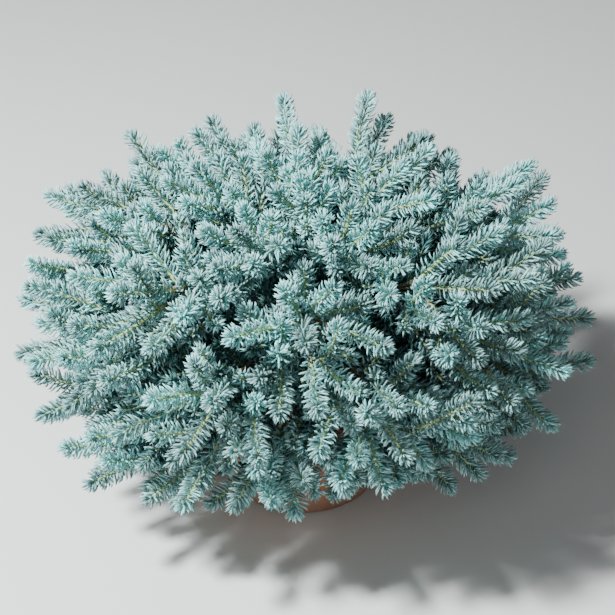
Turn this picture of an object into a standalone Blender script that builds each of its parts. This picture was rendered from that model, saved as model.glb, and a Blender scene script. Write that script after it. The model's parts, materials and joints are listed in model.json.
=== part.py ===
"""A dwarf blue spruce in a plain clay pot: a low, dense mound of needle sprays on short boughs.

Metres, +Z up. The origin is the centre of the pot's flat underside and -Y is the front.
Run with: blender --background --python part.py
"""

import math
from collections import namedtuple

import bmesh
import bpy
import numpy as np
from mathutils import Vector

# Crown: its outline is one rounded form about CROWN_CENTRE
CROWN_WIDTH = 0.680
CROWN_DEPTH = 0.630
CROWN_RISE = 0.165
CROWN_DROP = 0.190
CROWN_CENTRE = Vector((0.0, 0.0, 0.265))
CROWN_ROUNDNESS = 2.5

# Clay pot and the potting mix in it
POT_HEIGHT = 0.165
POT_FOOT_RADIUS = 0.098
POT_RIM_RADIUS = 0.145
POT_BAND_HEIGHT = 0.038
POT_BAND_STEP = 0.009
POT_WALL = 0.009
POT_FLOOR = 0.013
POT_LIP_ROUND = 0.003
POT_STEPS = 28
DRAIN_HOLES = 4
DRAIN_RADIUS = 0.006
DRAIN_CIRCLE_RADIUS = 0.045
DRAIN_SIDES = 12
SOIL_BELOW_RIM = 0.014
SOIL_EDGE_DROP = 0.004
SOIL_LEVEL_SHARE = 0.8

# Trunk: a short leaning stem with a root flare
TRUNK_TOP = 0.335
TRUNK_RADIUS = 0.0150
TRUNK_TIP_RADIUS = 0.0060
TRUNK_SIDES = 12
ROOT_FLARE = 0.0085
ROOT_FLARE_HEIGHT = 0.018
FLARE_RINGS = (0.006, 0.016)
TRUNK_LEAN = Vector((0.010, -0.005, 0.0))

# Boughs: one whorl for each tier of foliage
BOUGH_RADIUS = 0.0046
BOUGH_TIP_RADIUS = 0.0030
BOUGH_SIDES = 6
BOUGH_SHARE = 0.40
BOUGH_ROOT = 0.009
BOUGH_BEND = 0.40
BOUGH_POINTS = 4

# Foliage: every mass is a stem with side sprays, whose feet stand in a smaller core
SPRAYS_PER_MASS = 6
SPRAY_REACH = (0.90, 1.00)
SPRAY_LENGTH = (0.100, 0.130)
SPRAY_SIDES = 4
SPRAY_CORE_RADIUS = 0.0044
TWIG_RADIUS = 0.0026
NEEDLE_REACH = 0.031
NEEDLE_LEAN = 0.012
NEEDLE_ROW = 0.0185
NEEDLE_CUTS = (1.0, 0.8, 0.6, 0.42)
NEEDLE_TAPER = 0.94
FULLEST_AT = 0.40
ROW_TWIST = 22.5
BARE_RINGS = 2
LEAST_BARE = 0.12
LEAST_ROWS = 3
STEM_FORKS = (0.08, 0.42)
AXIS_POINTS = 14
AXIS_STEP = 0.02
AIM_TRIES = 60
AIM_MARGIN = 0.018
PULL_IN = (1.0, 0.85, 0.7, 0.5, 0.3)
CORE_RINGS = ((0.43, 0.12), (0.52, 0.70), (0.66, 0.94), (0.76, 0.60))
CORE_TIP = 0.81
CORE_SIDES = 6
SEED = 2036

GAP = 0.0003
SEAT_GAP = 0.0006
KEEP_CLEAR = 0.008
MERGE = 0.00005
SHARP_ANGLE = 40.0
DEGREE = math.pi / 180

# Tiers of foliage from the top down. Angles are in degrees, and turn is the first mass's azimuth
Tier = namedtuple("Tier", "name count elevation half_height turn bough_height")
TIERS = (
    Tier("crown", 5, 50.0, 14.5, 20.0, 0.296),
    Tier("shoulder", 7, 23.0, 13.5, 14.0, 0.264),
    Tier("side", 8, -3.0, 12.0, 21.0, 0.234),
    Tier("skirt", 7, -27.0, 11.0, 11.0, 0.204),
)
TOP_HALF_ANGLE = 24.0

# Leaders that break the outline: azimuth from +X, elevation, and reach as a share of it
LEADERS = (
    (70.0, 31.0, 1.12),
    (96.0, 32.0, 1.08),
    (143.0, 26.0, 1.06),
    (166.0, 16.0, 1.04),
    (187.0, -10.0, 1.04),
    (215.0, -26.0, 1.08),
    (-42.0, -25.0, 1.03),
    (-3.0, -4.0, 1.03),
    (21.0, 21.0, 1.07),
)

Mass = namedtuple("Mass", "name azimuth elevation half_width half_height bough_height")


def reach(direction):
    """Distance from the crown's centre to its outline along a unit vector."""
    flat = math.hypot(direction.x / (CROWN_WIDTH / 2), direction.y / (CROWN_DEPTH / 2))
    tall = abs(direction.z) / (CROWN_RISE if direction.z > 0 else CROWN_DROP)
    return (flat**CROWN_ROUNDNESS + tall**CROWN_ROUNDNESS) ** (-1 / CROWN_ROUNDNESS)


def heading(azimuth, elevation):
    """Unit vector of an azimuth from +X and an elevation, in degrees."""
    a, e = azimuth * DEGREE, elevation * DEGREE
    return Vector((math.cos(e) * math.cos(a), math.cos(e) * math.sin(a), math.sin(e)))


def masses_of_crown():
    """Every mass of foliage: the top one, and then each tier's round the trunk."""
    masses = [Mass("top", 0.0, 90.0, TOP_HALF_ANGLE, TOP_HALF_ANGLE, None)]
    for tier in TIERS:
        half_width = 180 / tier.count
        for n in range(tier.count):
            name, azimuth = f"{tier.name}_{n + 1}", tier.turn + 2 * half_width * n
            cell = (azimuth, tier.elevation, half_width, tier.half_height)
            masses.append(Mass(name, *cell, tier.bough_height))
    return masses


MASSES = masses_of_crown()
HEADINGS = [heading(mass.azimuth, mass.elevation) for mass in MASSES]


def aim_in_cell(mass, across, up):
    """Heading at a place in a mass's cell, where across and up run from -1 to 1."""
    cell = MASSES[mass]
    if cell.bough_height is None:
        tilt = TOP_HALF_ANGLE * math.hypot(across, up)
        return heading(math.atan2(up, across) / DEGREE, 90 - tilt)
    return heading(cell.azimuth + cell.half_width * across, cell.elevation + cell.half_height * up)


def cell_walls(mass):
    """Inward normals of the planes through the crown's centre that part a mass from the rest."""
    own = HEADINGS[mass]
    return np.array([(own - other).normalized() for other in HEADINGS if other != own])


CELL_WALLS = [cell_walls(mass) for mass in range(len(MASSES))]


def has_room(mass, point, margin=GAP):
    """True if a point lies in the mass's cell, this far from its walls, and clear of the pot."""
    inside = CELL_WALLS[mass] @ np.array(point - CROWN_CENTRE)
    beside_pot = point.xy.length > POT_RIM_RADIUS + KEEP_CLEAR
    return inside.min() > margin and (beside_pot or point.z > POT_HEIGHT + KEEP_CLEAR)


def bezier(a, b, c, d, t):
    """Point at t on the cubic curve of four control points."""
    s = 1 - t
    return a * s**3 + b * (3 * s * s * t) + c * (3 * s * t * t) + d * t**3


# Materials


def material(name, colour, roughness):
    made = bpy.data.materials.new(name)
    made.use_nodes = True
    shader = made.node_tree.nodes["Principled BSDF"]
    shader.inputs["Base Color"].default_value = (*colour, 1)
    shader.inputs["Roughness"].default_value = roughness
    shader.inputs["Metallic"].default_value = 0
    made.diffuse_color = (*colour, 1)
    return made


# Building blocks


def show(name, data, finish, collection):
    """One named object with its own finish."""
    made = bpy.data.objects.new(name, data)
    collection.objects.link(made)
    made.data.materials.append(finish)
    return made


def limb(name, points, radii, sides, finish, collection):
    """A tapering limb: a poly curve with a round bevel and filled caps. The bevel's depth is one
    metre, so that each point's radius is the limb's own."""
    curve = bpy.data.curves.new(name, "CURVE")
    curve.dimensions = "3D"
    curve.bevel_depth = 1.0
    curve.bevel_resolution = sides // 2 - 2
    curve.use_fill_caps = True
    spline = curve.splines.new("POLY")
    spline.points.add(len(points) - 1)
    for spot, point, radius in zip(spline.points, points, radii):
        spot.co = (*point, 1)
        spot.radius = radius
    show(name, curve, finish, collection)


def turned(name, profile, finish, collection):
    """A turned form: a profile in the XZ plane with a Screw modifier."""
    mesh = bpy.data.meshes.new(name)
    edges = [(n, n + 1) for n in range(len(profile) - 1)]
    mesh.from_pydata([(r, 0, z) for r, z in profile], edges, [])
    made = show(name, mesh, finish, collection)
    screw = made.modifiers.new("Turn", "SCREW")
    screw.steps = screw.render_steps = POT_STEPS
    screw.use_merge_vertices = True
    screw.merge_threshold = MERGE
    return made


def apply_modifiers(made):
    """Replaces an object's mesh by its evaluated one."""
    bpy.context.view_layer.update()
    graph = bpy.context.evaluated_depsgraph_get()
    done = bpy.data.meshes.new_from_object(made.evaluated_get(graph))
    made.modifiers.clear()
    made.data = done


def shade_round(made):
    """Smooth shading on a turned form, with its edges left sharp."""
    apply_modifiers(made)
    made.data.shade_smooth()
    made.data.set_sharp_from_angle(angle=SHARP_ANGLE * DEGREE)


def keep_outer_shell(mesh):
    """Leaves only the largest connected shell, so a hollow sealed by fusing is filled and a loose
    scrap is dropped."""
    work = bmesh.new()
    work.from_mesh(mesh)
    left, shells = set(work.verts), []
    while left:
        shell, edge_of_shell = set(), [left.pop()]
        while edge_of_shell:
            corner = edge_of_shell.pop()
            shell.add(corner)
            for edge in corner.link_edges:
                other = edge.other_vert(corner)
                if other in left:
                    left.remove(other)
                    edge_of_shell.append(other)
        shells.append(shell)
    shells.sort(key=len)
    for shell in shells[:-1]:
        bmesh.ops.delete(work, geom=list(shell), context="VERTS")
    work.to_mesh(mesh)
    work.free()


# Pot, potting mix and trunk


def pot_inner_radius(z):
    """Radius of the pot's inner wall at a height."""
    rise = (z - POT_FLOOR) / (POT_HEIGHT - POT_FLOOR)
    foot, mouth = POT_FOOT_RADIUS - POT_WALL, POT_RIM_RADIUS - POT_BAND_STEP - POT_WALL
    return foot + (mouth - foot) * rise


def build_pot(finish, collection, cutters):
    """Tapered clay pot with a collar under its rim, and drain holes through its floor."""
    lip, under = POT_LIP_ROUND, POT_HEIGHT - POT_BAND_HEIGHT
    body_top = pot_inner_radius(under) + POT_WALL
    mouth = pot_inner_radius(POT_HEIGHT)
    profile = [
        (0, POT_FLOOR),
        (pot_inner_radius(POT_FLOOR), POT_FLOOR),
        (mouth, POT_HEIGHT - lip),
        (mouth + lip, POT_HEIGHT),
        (POT_RIM_RADIUS - lip, POT_HEIGHT),
        (POT_RIM_RADIUS, POT_HEIGHT - lip),
        (POT_RIM_RADIUS - lip / 2, under + lip),
        (POT_RIM_RADIUS - lip, under),
        (body_top, under - lip / 2),
        (POT_FOOT_RADIUS, lip),
        (POT_FOOT_RADIUS - lip, 0),
        (0, 0),
    ]
    pot = turned("pot", profile, finish, collection)
    for n in range(DRAIN_HOLES):
        angle = 2 * math.pi * (n + 0.5) / DRAIN_HOLES
        spot = (DRAIN_CIRCLE_RADIUS * math.cos(angle), DRAIN_CIRCLE_RADIUS * math.sin(angle))
        mesh = bpy.data.meshes.new(f"drain_{n + 1}")
        drill = bmesh.new()
        bmesh.ops.create_cone(
            drill,
            cap_ends=True,
            segments=DRAIN_SIDES,
            radius1=DRAIN_RADIUS,
            radius2=DRAIN_RADIUS,
            depth=4 * POT_FLOOR,
        )
        drill.to_mesh(mesh)
        drill.free()
        cutter = bpy.data.objects.new(mesh.name, mesh)
        cutter.location = (*spot, 0)
        cutter.hide_render = True
        cutter.display_type = "WIRE"
        cutters.objects.link(cutter)
        drain = pot.modifiers.new(mesh.name, "BOOLEAN")
        drain.object = cutter
    shade_round(pot)


def soil_top():
    return POT_HEIGHT - SOIL_BELOW_RIM


def build_soil(finish, collection):
    """Potting mix that fills the pot, level in the middle and a little lower at the wall."""
    low, edge = POT_FLOOR + GAP, soil_top() - SOIL_EDGE_DROP
    profile = [
        (0, soil_top()),
        (pot_inner_radius(edge) * SOIL_LEVEL_SHARE, soil_top()),
        (pot_inner_radius(edge) - GAP, edge),
        (pot_inner_radius(low) - GAP, low),
        (0, low),
    ]
    shade_round(turned("potting_mix", profile, finish, collection))


def trunk_axis(z):
    """Centre of the trunk at a height: upright at the soil, then leaning a little."""
    rise = (z - soil_top()) / (TRUNK_TOP - soil_top())
    return Vector((0, 0, z)) + TRUNK_LEAN * rise * rise


def trunk_radius(z):
    """Radius of the trunk at a height: a straight taper and a flare at the foot."""
    rise = (z - soil_top()) / (TRUNK_TOP - soil_top())
    flare = ROOT_FLARE * math.exp(-(z - soil_top()) / ROOT_FLARE_HEIGHT)
    return TRUNK_RADIUS + (TRUNK_TIP_RADIUS - TRUNK_RADIUS) * rise + flare


def build_trunk(finish, collection):
    foot = soil_top() + GAP
    heights = [foot, *(foot + rise for rise in FLARE_RINGS)]
    heights += [*(tier.bough_height for tier in reversed(TIERS)), TRUNK_TOP]
    points = [trunk_axis(z) for z in heights]
    points[1].xy = points[0].xy
    radii = [trunk_radius(z) for z in heights]
    limb("trunk", points, radii, TRUNK_SIDES, finish, collection)


# Boughs


def bough_points(mass):
    """Centreline of a bough: it leaves the trunk square, then swings to its mass's heading."""
    height = MASSES[mass].bough_height
    out = heading(MASSES[mass].azimuth, 0)
    foot = trunk_axis(height) + out * (trunk_radius(height) + SEAT_GAP)
    start = foot + out * BOUGH_ROOT
    tip = CROWN_CENTRE + HEADINGS[mass] * (reach(HEADINGS[mass]) * BOUGH_SHARE)
    pull = (tip - start).length * BOUGH_BEND
    swing = (start, start + out * pull, tip - HEADINGS[mass] * pull, tip)
    return [foot] + [bezier(*swing, n / (BOUGH_POINTS - 1)) for n in range(BOUGH_POINTS)]


def build_bough(mass, finish, collection):
    points = bough_points(mass)
    radii = np.linspace(BOUGH_RADIUS, BOUGH_TIP_RADIUS, len(points))
    limb(f"bough_{MASSES[mass].name}", points, radii, BOUGH_SIDES, finish, collection)


# Foliage


def tip_of(aim, share):
    """Point at a share of the crown's reach along a heading."""
    return CROWN_CENTRE + aim * (reach(aim) * share)


def aims_of(mass):
    """Heading and share of the crown's reach of each spray in a mass. The stem takes the mass's own
    heading, the leaders follow, and each of the rest is, of many seeded tries in the cell, the
    one that lies farthest from the sprays before it."""
    chance = np.random.default_rng([SEED, mass])
    aims = [(HEADINGS[mass], 1.0)]
    for azimuth, elevation, share in LEADERS:
        aim = heading(azimuth, elevation)
        if max(range(len(MASSES)), key=lambda other: aim.dot(HEADINGS[other])) == mass:
            aims.append((aim, share))
    while len(aims) < SPRAYS_PER_MASS:
        places = chance.uniform(-1, 1, (AIM_TRIES, 2))
        tries = [aim_in_cell(mass, across, up) for across, up in places]
        free = [aim for aim in tries if has_room(mass, tip_of(aim, 1), AIM_MARGIN)]
        spread = [min((tip_of(a, 1) - tip_of(b, 1)).length for b, _ in aims) for a in free]
        aims.append((free[int(np.argmax(spread))], chance.uniform(*SPRAY_REACH)))
    return aims


def stem_start(mass):
    """Foot and heading of a mass's stem, just clear of the limb that carries it."""
    if MASSES[mass].bough_height is None:
        points = [trunk_axis(TIERS[0].bough_height), trunk_axis(TRUNK_TOP)]
    else:
        points = bough_points(mass)
    along = (points[-1] - points[-2]).normalized()
    return points[-1] + along * GAP, along


def stem_path(mass):
    """Control points of a mass's stem, which runs on from its bough to the crown's outline."""
    foot, along = stem_start(mass)
    tip = tip_of(HEADINGS[mass], 1)
    pull = (tip - foot).length / 3
    return foot, foot + along * pull, tip - HEADINGS[mass] * pull, tip


def side_path(mass, aim, share, fork):
    """Control points of a side spray, from a fork on the stem to its place on the outline."""
    start, tip = bezier(*stem_path(mass), fork), tip_of(aim, share)
    straight = tip - start
    arrive = (aim + straight.normalized()).normalized()
    return start, start + straight / 3, tip - arrive * (straight.length / 3), tip


def spray_rows(path, length):
    """Shares of a spray's axis at which its rings stand: the sunk foot, the last bare ring and the
    rows of needles."""
    whole = (path[3] - path[0]).length
    bare = max(LEAST_BARE, 1 - length / whole)
    rows = max(LEAST_ROWS, round((1 - bare) * whole / NEEDLE_ROW))
    return [0, bare] + [bare + (1 - bare) * (n + 0.5) / rows for n in range(rows)]


def needle_tip(mass, centre, out, ahead, span, others):
    """Tip of a needle, shortened until it is in its mass's space and nearer to its own spray than
    to any other, or None where the shortest isn't."""
    for cut in NEEDLE_CUTS:
        tip = centre + (out * span + ahead * NEEDLE_LEAN) * cut
        apart = np.linalg.norm(others - np.array(tip), axis=1).min()
        if apart > span * cut and has_room(mass, tip):
            return tip
    return None


def loft(rings, tip):
    """Corners and faces of a closed form through rings of corners, with a flat foot and a point."""
    sides, corners = len(rings[0]), [corner for ring in rings for corner in ring] + [tip]
    faces = [tuple(reversed(range(sides)))]
    for ring in range(len(rings) - 1):
        for n in range(sides):
            a, b = ring * sides + n, ring * sides + (n + 1) % sides
            c, d = b + sides, a + sides
            faces += [(a, b, c), (a, c, d)] if (ring + n) % 2 else [(a, b, d), (b, c, d)]
    last = len(corners) - 1 - sides
    faces += [(last + n, last + (n + 1) % sides, len(corners) - 1) for n in range(sides)]
    return corners, faces


def spray_mesh(mass, path, length, others):
    """A spray: a slim core with pointed needles standing out of it.

    Every other corner of a ring is drawn out and forward into a needle, in turn from row to row,
    so the needles stand in four toothed blades that wind a little round the core."""
    shares = spray_rows(path, length)
    rings, side = [], Vector((0, 0, 1))
    for row, t in enumerate(shares):
        centre = bezier(*path, t)
        ahead = (bezier(*path, t + AXIS_STEP) - bezier(*path, t - AXIS_STEP)).normalized()
        side = (side - ahead * side.dot(ahead)).normalized()
        third = ahead.cross(side)
        along = (t - shares[1]) / (1 - shares[1])
        span = NEEDLE_REACH * (1 - NEEDLE_TAPER * (along - FULLEST_AT) ** 2)
        core = TWIG_RADIUS if row < BARE_RINGS else SPRAY_CORE_RADIUS * (1 - along / 2)
        ring = []
        for n in range(SPRAY_SIDES):
            turn = 2 * math.pi * n / SPRAY_SIDES + row * ROW_TWIST * DEGREE
            out = side * math.cos(turn) + third * math.sin(turn)
            needle = None
            if row >= BARE_RINGS and (row + n) % 2 == 0:
                needle = needle_tip(mass, centre, out, ahead, span, others)
            ring.append(needle or centre + out * core)
        rings.append(ring)
    return loft(rings, path[3] + (path[3] - path[2]).normalized() * NEEDLE_LEAN)


def core_mesh(mass):
    """A mass's core: rings round its heading that fill most of its cell behind the sprays. A
    corner without room is pulled in."""
    rings = []
    for share, fill in CORE_RINGS:
        ring = []
        for n in range(CORE_SIDES):
            turn = 2 * math.pi * n / CORE_SIDES
            across, up = math.cos(turn), math.sin(turn)
            fills = [fill * pull / max(abs(across), abs(up)) for pull in PULL_IN]
            tries = [tip_of(aim_in_cell(mass, across * f, up * f), share) for f in fills]
            ring.append(next((corner for corner in tries if has_room(mass, corner)), tries[-1]))
        rings.append(ring)
    return loft(rings, tip_of(HEADINGS[mass], CORE_TIP))


def axis_points(path):
    return [np.array(bezier(*path, n / (AXIS_POINTS - 1))) for n in range(AXIS_POINTS)]


def sprays_of(mass):
    """The path and needled length of each spray of a mass, its stem first."""
    chance = np.random.default_rng([SEED, mass, 1])
    made = []
    for n, (aim, share) in enumerate(aims_of(mass)):
        fork, length = chance.uniform(*STEM_FORKS), chance.uniform(*SPRAY_LENGTH)
        path = side_path(mass, aim, share, fork) if n else stem_path(mass)
        made.append((path, length))
    return made


def build_mass(mass, finish, collection):
    """One mass: its core, with the stem and the side sprays fused on by one Boolean union."""
    name = MASSES[mass].name
    sprays = sprays_of(mass)
    axes = [axis_points(path) for path, _ in sprays]
    forms = [core_mesh(mass)]
    for n, (path, length) in enumerate(sprays):
        others = np.array([point for m, axis in enumerate(axes) if m != n for point in axis])
        forms.append(spray_mesh(mass, path, length, others))
    extras = bpy.data.collections.new(f"sprays_{name}")
    bpy.context.scene.collection.children.link(extras)
    objects = []
    for n, (corners, faces) in enumerate(forms):
        mesh = bpy.data.meshes.new(f"spray_{name}_{n}" if n else f"foliage_{name}")
        mesh.from_pydata(corners, [], faces)
        objects.append(show(mesh.name, mesh, finish, extras if n else collection))
    core = objects[0]
    union = core.modifiers.new("Fuse", "BOOLEAN")
    union.operation = "UNION"
    union.operand_type = "COLLECTION"
    union.solver = "MANIFOLD"
    union.collection = extras
    apply_modifiers(core)
    keep_outer_shell(core.data)
    for spray in objects[1:]:
        bpy.data.objects.remove(spray)
    bpy.data.collections.remove(extras)


def main():
    for old in list(bpy.data.objects):
        bpy.data.objects.remove(old)
    plant = bpy.data.collections.new("potted_blue_spruce")
    cutters = bpy.data.collections.new("cutters")
    for collection in (plant, cutters):
        bpy.context.scene.collection.children.link(collection)
    clay = material("clay", (0.45, 0.19, 0.10), 0.85)
    mix = material("potting_mix", (0.075, 0.045, 0.028), 0.95)
    bark = material("bark", (0.20, 0.12, 0.075), 0.9)
    needles = material("needles", (0.30, 0.47, 0.48), 0.6)
    build_pot(clay, plant, cutters)
    build_soil(mix, plant)
    build_trunk(bark, plant)
    for mass in range(len(MASSES)):
        if MASSES[mass].bough_height is not None:
            build_bough(mass, bark, plant)
        build_mass(mass, needles, plant)


main()
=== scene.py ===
"""Looks of a dwarf blue spruce in a clay pot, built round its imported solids.

The crown is grown again by the solids' own rule and carried on to finer shoots, which bear needles,
buds and bud scales. Metres, +Z up; the origin is the centre of the pot's underside, -Y the front.
"""

import functools
import json
import math
from collections import namedtuple

import bpy
import numpy as np
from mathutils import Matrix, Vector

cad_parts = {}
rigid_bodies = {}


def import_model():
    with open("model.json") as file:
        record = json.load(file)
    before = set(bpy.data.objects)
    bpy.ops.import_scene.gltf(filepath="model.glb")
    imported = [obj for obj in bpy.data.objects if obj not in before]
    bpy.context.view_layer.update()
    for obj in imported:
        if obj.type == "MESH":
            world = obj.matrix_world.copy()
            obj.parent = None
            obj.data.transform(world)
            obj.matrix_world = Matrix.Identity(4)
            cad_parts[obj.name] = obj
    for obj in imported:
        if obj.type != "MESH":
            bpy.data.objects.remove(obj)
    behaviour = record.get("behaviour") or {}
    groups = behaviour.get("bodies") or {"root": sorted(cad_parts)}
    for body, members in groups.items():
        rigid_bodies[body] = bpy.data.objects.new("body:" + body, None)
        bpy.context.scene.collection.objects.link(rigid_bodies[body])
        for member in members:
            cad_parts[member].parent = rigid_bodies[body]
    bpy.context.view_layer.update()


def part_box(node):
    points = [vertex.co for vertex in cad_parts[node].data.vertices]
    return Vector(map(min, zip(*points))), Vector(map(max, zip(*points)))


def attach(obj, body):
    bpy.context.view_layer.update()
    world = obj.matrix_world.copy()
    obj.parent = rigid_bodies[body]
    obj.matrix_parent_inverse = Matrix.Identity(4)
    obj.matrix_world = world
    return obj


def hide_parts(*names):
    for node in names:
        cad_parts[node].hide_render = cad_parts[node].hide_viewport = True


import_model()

bl_info = {
    "name": "Potted blue spruce",
    "version": (1, 0, 0),
    "blender": (4, 5, 0),
    "location": "3D View > Sidebar > Spruce",
    "description": "Grows the shoots and needles of a dwarf blue spruce and turns its clay pot",
    "category": "Add Mesh",
}

BODY = "root"
TURN = 2 * math.pi
GOLDEN_ANGLE = math.pi * (3 - math.sqrt(5))

# Seeded chance, with a stream of its own for each use
SEED = 2036
MAIN, FINE, NEEDLE, TINT, COLLAR, BARK, COMPOST, AGE, CRUMB = range(1, 10)

# Crown: the solids' outline, a rounded form about CROWN_CENTRE
CROWN_WIDTH = 0.680
CROWN_DEPTH = 0.630
CROWN_RISE = 0.165
CROWN_DROP = 0.190
CROWN_CENTRE = np.array([0.0, 0.0, 0.265])
CROWN_ROUNDNESS = 2.5

# Tiers of foliage from the top down. Angles are in degrees, turn is the first mass's azimuth, and
# vigour is a share of the finer shoots' length and spacing
Tier = namedtuple("Tier", "name count elevation half_height turn bough_height vigour")
TIERS = (
    Tier("crown", 5, 50.0, 14.5, 20.0, 0.296, 1.08),
    Tier("shoulder", 7, 23.0, 13.5, 14.0, 0.264, 1.05),
    Tier("side", 8, -3.0, 12.0, 21.0, 0.234, 0.95),
    Tier("skirt", 7, -27.0, 11.0, 11.0, 0.204, 0.76),
)
TOP_HALF_ANGLE = 24.0

# Longest sprays: azimuth, elevation and share of the crown's reach
LEADERS = (
    (70.0, 31.0, 1.12),
    (96.0, 32.0, 1.08),
    (143.0, 26.0, 1.06),
    (166.0, 16.0, 1.04),
    (187.0, -10.0, 1.04),
    (215.0, -26.0, 1.08),
    (-42.0, -25.0, 1.03),
    (-3.0, -4.0, 1.03),
    (21.0, 21.0, 1.07),
)

# The rule by which the solids' sprays grow
SPRAYS_PER_MASS = 6
SPRAY_REACH = (0.90, 1.00)
SPRAY_LENGTH = (0.100, 0.130)
STEM_FORKS = (0.08, 0.42)
AIM_TRIES = 60
AIM_MARGIN = 0.018
LEAST_BARE = 0.12

# The rule carried on to finer shoots, in layers from the outline inwards. A layer's shoots fork
# from what parents names. reach is a range of shares of the crown's own, and spacing, length and
# needles are shares of the settings'
Layer = namedtuple("Layer", "parents reach forks spacing length needles")
LAYERS = (
    Layer("shoots", (0.82, 0.98), (0.15, 0.80), 1.04, 1.0, 1.0),
    Layer("branches", (0.65, 0.82), (0.05, 0.60), 0.96, 0.55, 0.70),
    Layer("branches", (0.46, 0.64), (0.00, 0.35), 1.02, 0.42, 0.60),
    Layer("boughs", (0.26, 0.46), (0.35, 1.00), 1.14, 0.34, 0.55),
)
OLD_NEEDLES = 0.6
NEEDLE_REACH = 0.009
LEAST_KEPT = 0.6
FINE_TRIES = 160
FINE_SPREAD = 1.8
FINE_MARGIN = 0.004
FINE_MOST = 40
FRESH_LENGTH = (0.070, 0.105)
FOOT_BARE = 0.03

# Heading of a finer shoot: how many reach out as fingers and by how much, how far it swings by
# chance, how it rises and fans out with its height, and how much it counts at the shoot's tip
FINGERS = 0.16
FINGER_REACH = 0.08
SWING = 0.13
RISE = 0.42
CLIMB = 2.2
FAN_LOW = 0.4
FAN_HIGH = 3.0
TURN_OUT = 2.2
OUT_SHARE = 0.42

# Choice of its fork among places on its parents
FORK_STEPS = 16
LENGTH_RANGE = (0.70, 1.40)
LENGTH_WEIGHT = 1.0
ANGLE_WEIGHT = 0.5
AIM_WEIGHT = 1.6

# Where the outline swells or sinks between the leaders: its heading, how much of its reach it
# gains, and over what angle, in degrees
SWELLS = (
    (200.0, -18.0, 0.11, 14.0),
    (224.0, -27.0, 0.17, 15.0),
    (-12.0, -18.0, 0.08, 14.0),
    (-52.0, -30.0, 0.06, 14.0),
    (84.0, 27.0, -0.22, 9.0),
    (84.0, 45.0, -0.12, 12.0),
    (61.0, 26.0, -0.18, 9.0),
    (58.0, 42.0, -0.10, 12.0),
    (122.0, 33.0, -0.06, 12.0),
    (50.0, 24.0, -0.12, 8.0),
    (32.0, 20.0, 0.08, 8.0),
    (170.0, 14.0, 0.07, 9.0),
    (-162.0, -10.0, 0.08, 10.0),
    (-15.0, -5.0, 0.07, 9.0),
)

# Trunk and boughs, as in the solids
SOIL_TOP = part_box("potting_mix")[1].z
TRUNK_TOP = 0.335
TRUNK_RADIUS = 0.0150
TRUNK_TIP_RADIUS = 0.0060
ROOT_FLARE = 0.0085
ROOT_FLARE_HEIGHT = 0.018
TRUNK_LEAN = np.array([0.010, -0.005, 0.0])
BOUGH_RADIUS = 0.0046
BOUGH_TIP_RADIUS = 0.0030
BOUGH_SHARE = 0.40
BOUGH_ROOT = 0.009
BOUGH_BEND = 0.40
SEAT_GAP = 0.0006
GAP = 0.0003

# Pot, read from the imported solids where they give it
POT_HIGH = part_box("pot")[1]
POT_HEIGHT = POT_HIGH.z
POT_RIM_RADIUS = POT_HIGH.x
POT_FOOT_RADIUS = 0.098
POT_BAND_HEIGHT = 0.038
POT_BAND_STEP = 0.009
POT_WALL = 0.009
POT_FLOOR = 0.013
DRAIN_HOLES = 4
DRAIN_RADIUS = 0.006
DRAIN_CIRCLE_RADIUS = 0.045
KEEP_CLEAR = 0.004

Mass = namedtuple("Mass", "name tier azimuth elevation half_width half_height bough_height")
Shoots = namedtuple("Shoots", "paths mass radius length bare fresh order")
Wish = namedtuple("Wish", "length angle spacing foot_radius main_radius")


def seeded(*stream):
    """A stream of seeded chance."""
    return np.random.default_rng([SEED, *stream])


# Directions and curves


def unit(vectors):
    """Vectors divided by their length."""
    return vectors / np.linalg.norm(vectors, axis=-1, keepdims=True)


def dot(a, b):
    """Sum of the products of two arrays of vectors, kept as a last axis of one."""
    return (a * b).sum(axis=-1, keepdims=True)


def between(first, second, angle):
    """Unit vectors at angles from one unit vector towards another that is square to it:
    first cos(a) + second sin(a)."""
    return first * np.cos(angle)[..., None] + second * np.sin(angle)[..., None]


def heading(azimuth, elevation):
    """Unit vector of an azimuth from +X and an elevation: (cos e cos a, cos e sin a, sin e)."""
    a, e = np.radians(azimuth), np.radians(elevation)
    return np.stack([np.cos(e) * np.cos(a), np.cos(e) * np.sin(a), np.sin(e)], axis=-1)


def framed(ahead, chord):
    """Two unit vectors square to each tangent, from the world axis that lies least along its
    limb's chord."""
    fixed = np.eye(3)[np.argmin(np.abs(chord), axis=-1)]
    side = unit(fixed - ahead * dot(fixed, ahead))
    return side, np.cross(ahead, side)


def reach(aims):
    """Distance from the crown's centre to its outline: the flat and the tall share of the unit
    vector, each over its half size, are raised to the roundness, summed, and the root is turned
    over."""
    flat = np.hypot(aims[..., 0] / (CROWN_WIDTH / 2), aims[..., 1] / (CROWN_DEPTH / 2))
    tall = np.abs(aims[..., 2]) / np.where(aims[..., 2] > 0, CROWN_RISE, CROWN_DROP)
    return (flat**CROWN_ROUNDNESS + tall**CROWN_ROUNDNESS) ** (-1 / CROWN_ROUNDNESS)


def tip_of(aims, share):
    """Points at a share of the crown's reach along unit vectors."""
    return CROWN_CENTRE + aims * (reach(aims) * share)[..., None]


def curve(paths, t):
    """Points of cubic curves: the four control points weighted by (1-t)^3, 3t(1-t)^2, 3t^2(1-t)
    and t^3. paths is (..., 4, 3), and t has the same leading axes."""
    t, s = t[..., None], 1 - t[..., None]
    a, b, c, d = np.moveaxis(paths, -2, 0)
    return a * s**3 + b * (3 * s * s * t) + c * (3 * s * t * t) + d * t**3


def slope(paths, t):
    """Unit tangents of cubic curves, from the differences of their control points."""
    t, s = t[..., None], 1 - t[..., None]
    a, b, c, d = np.moveaxis(paths, -2, 0)
    return unit((b - a) * s * s + (c - b) * (2 * s * t) + (d - c) * t * t)


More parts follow.
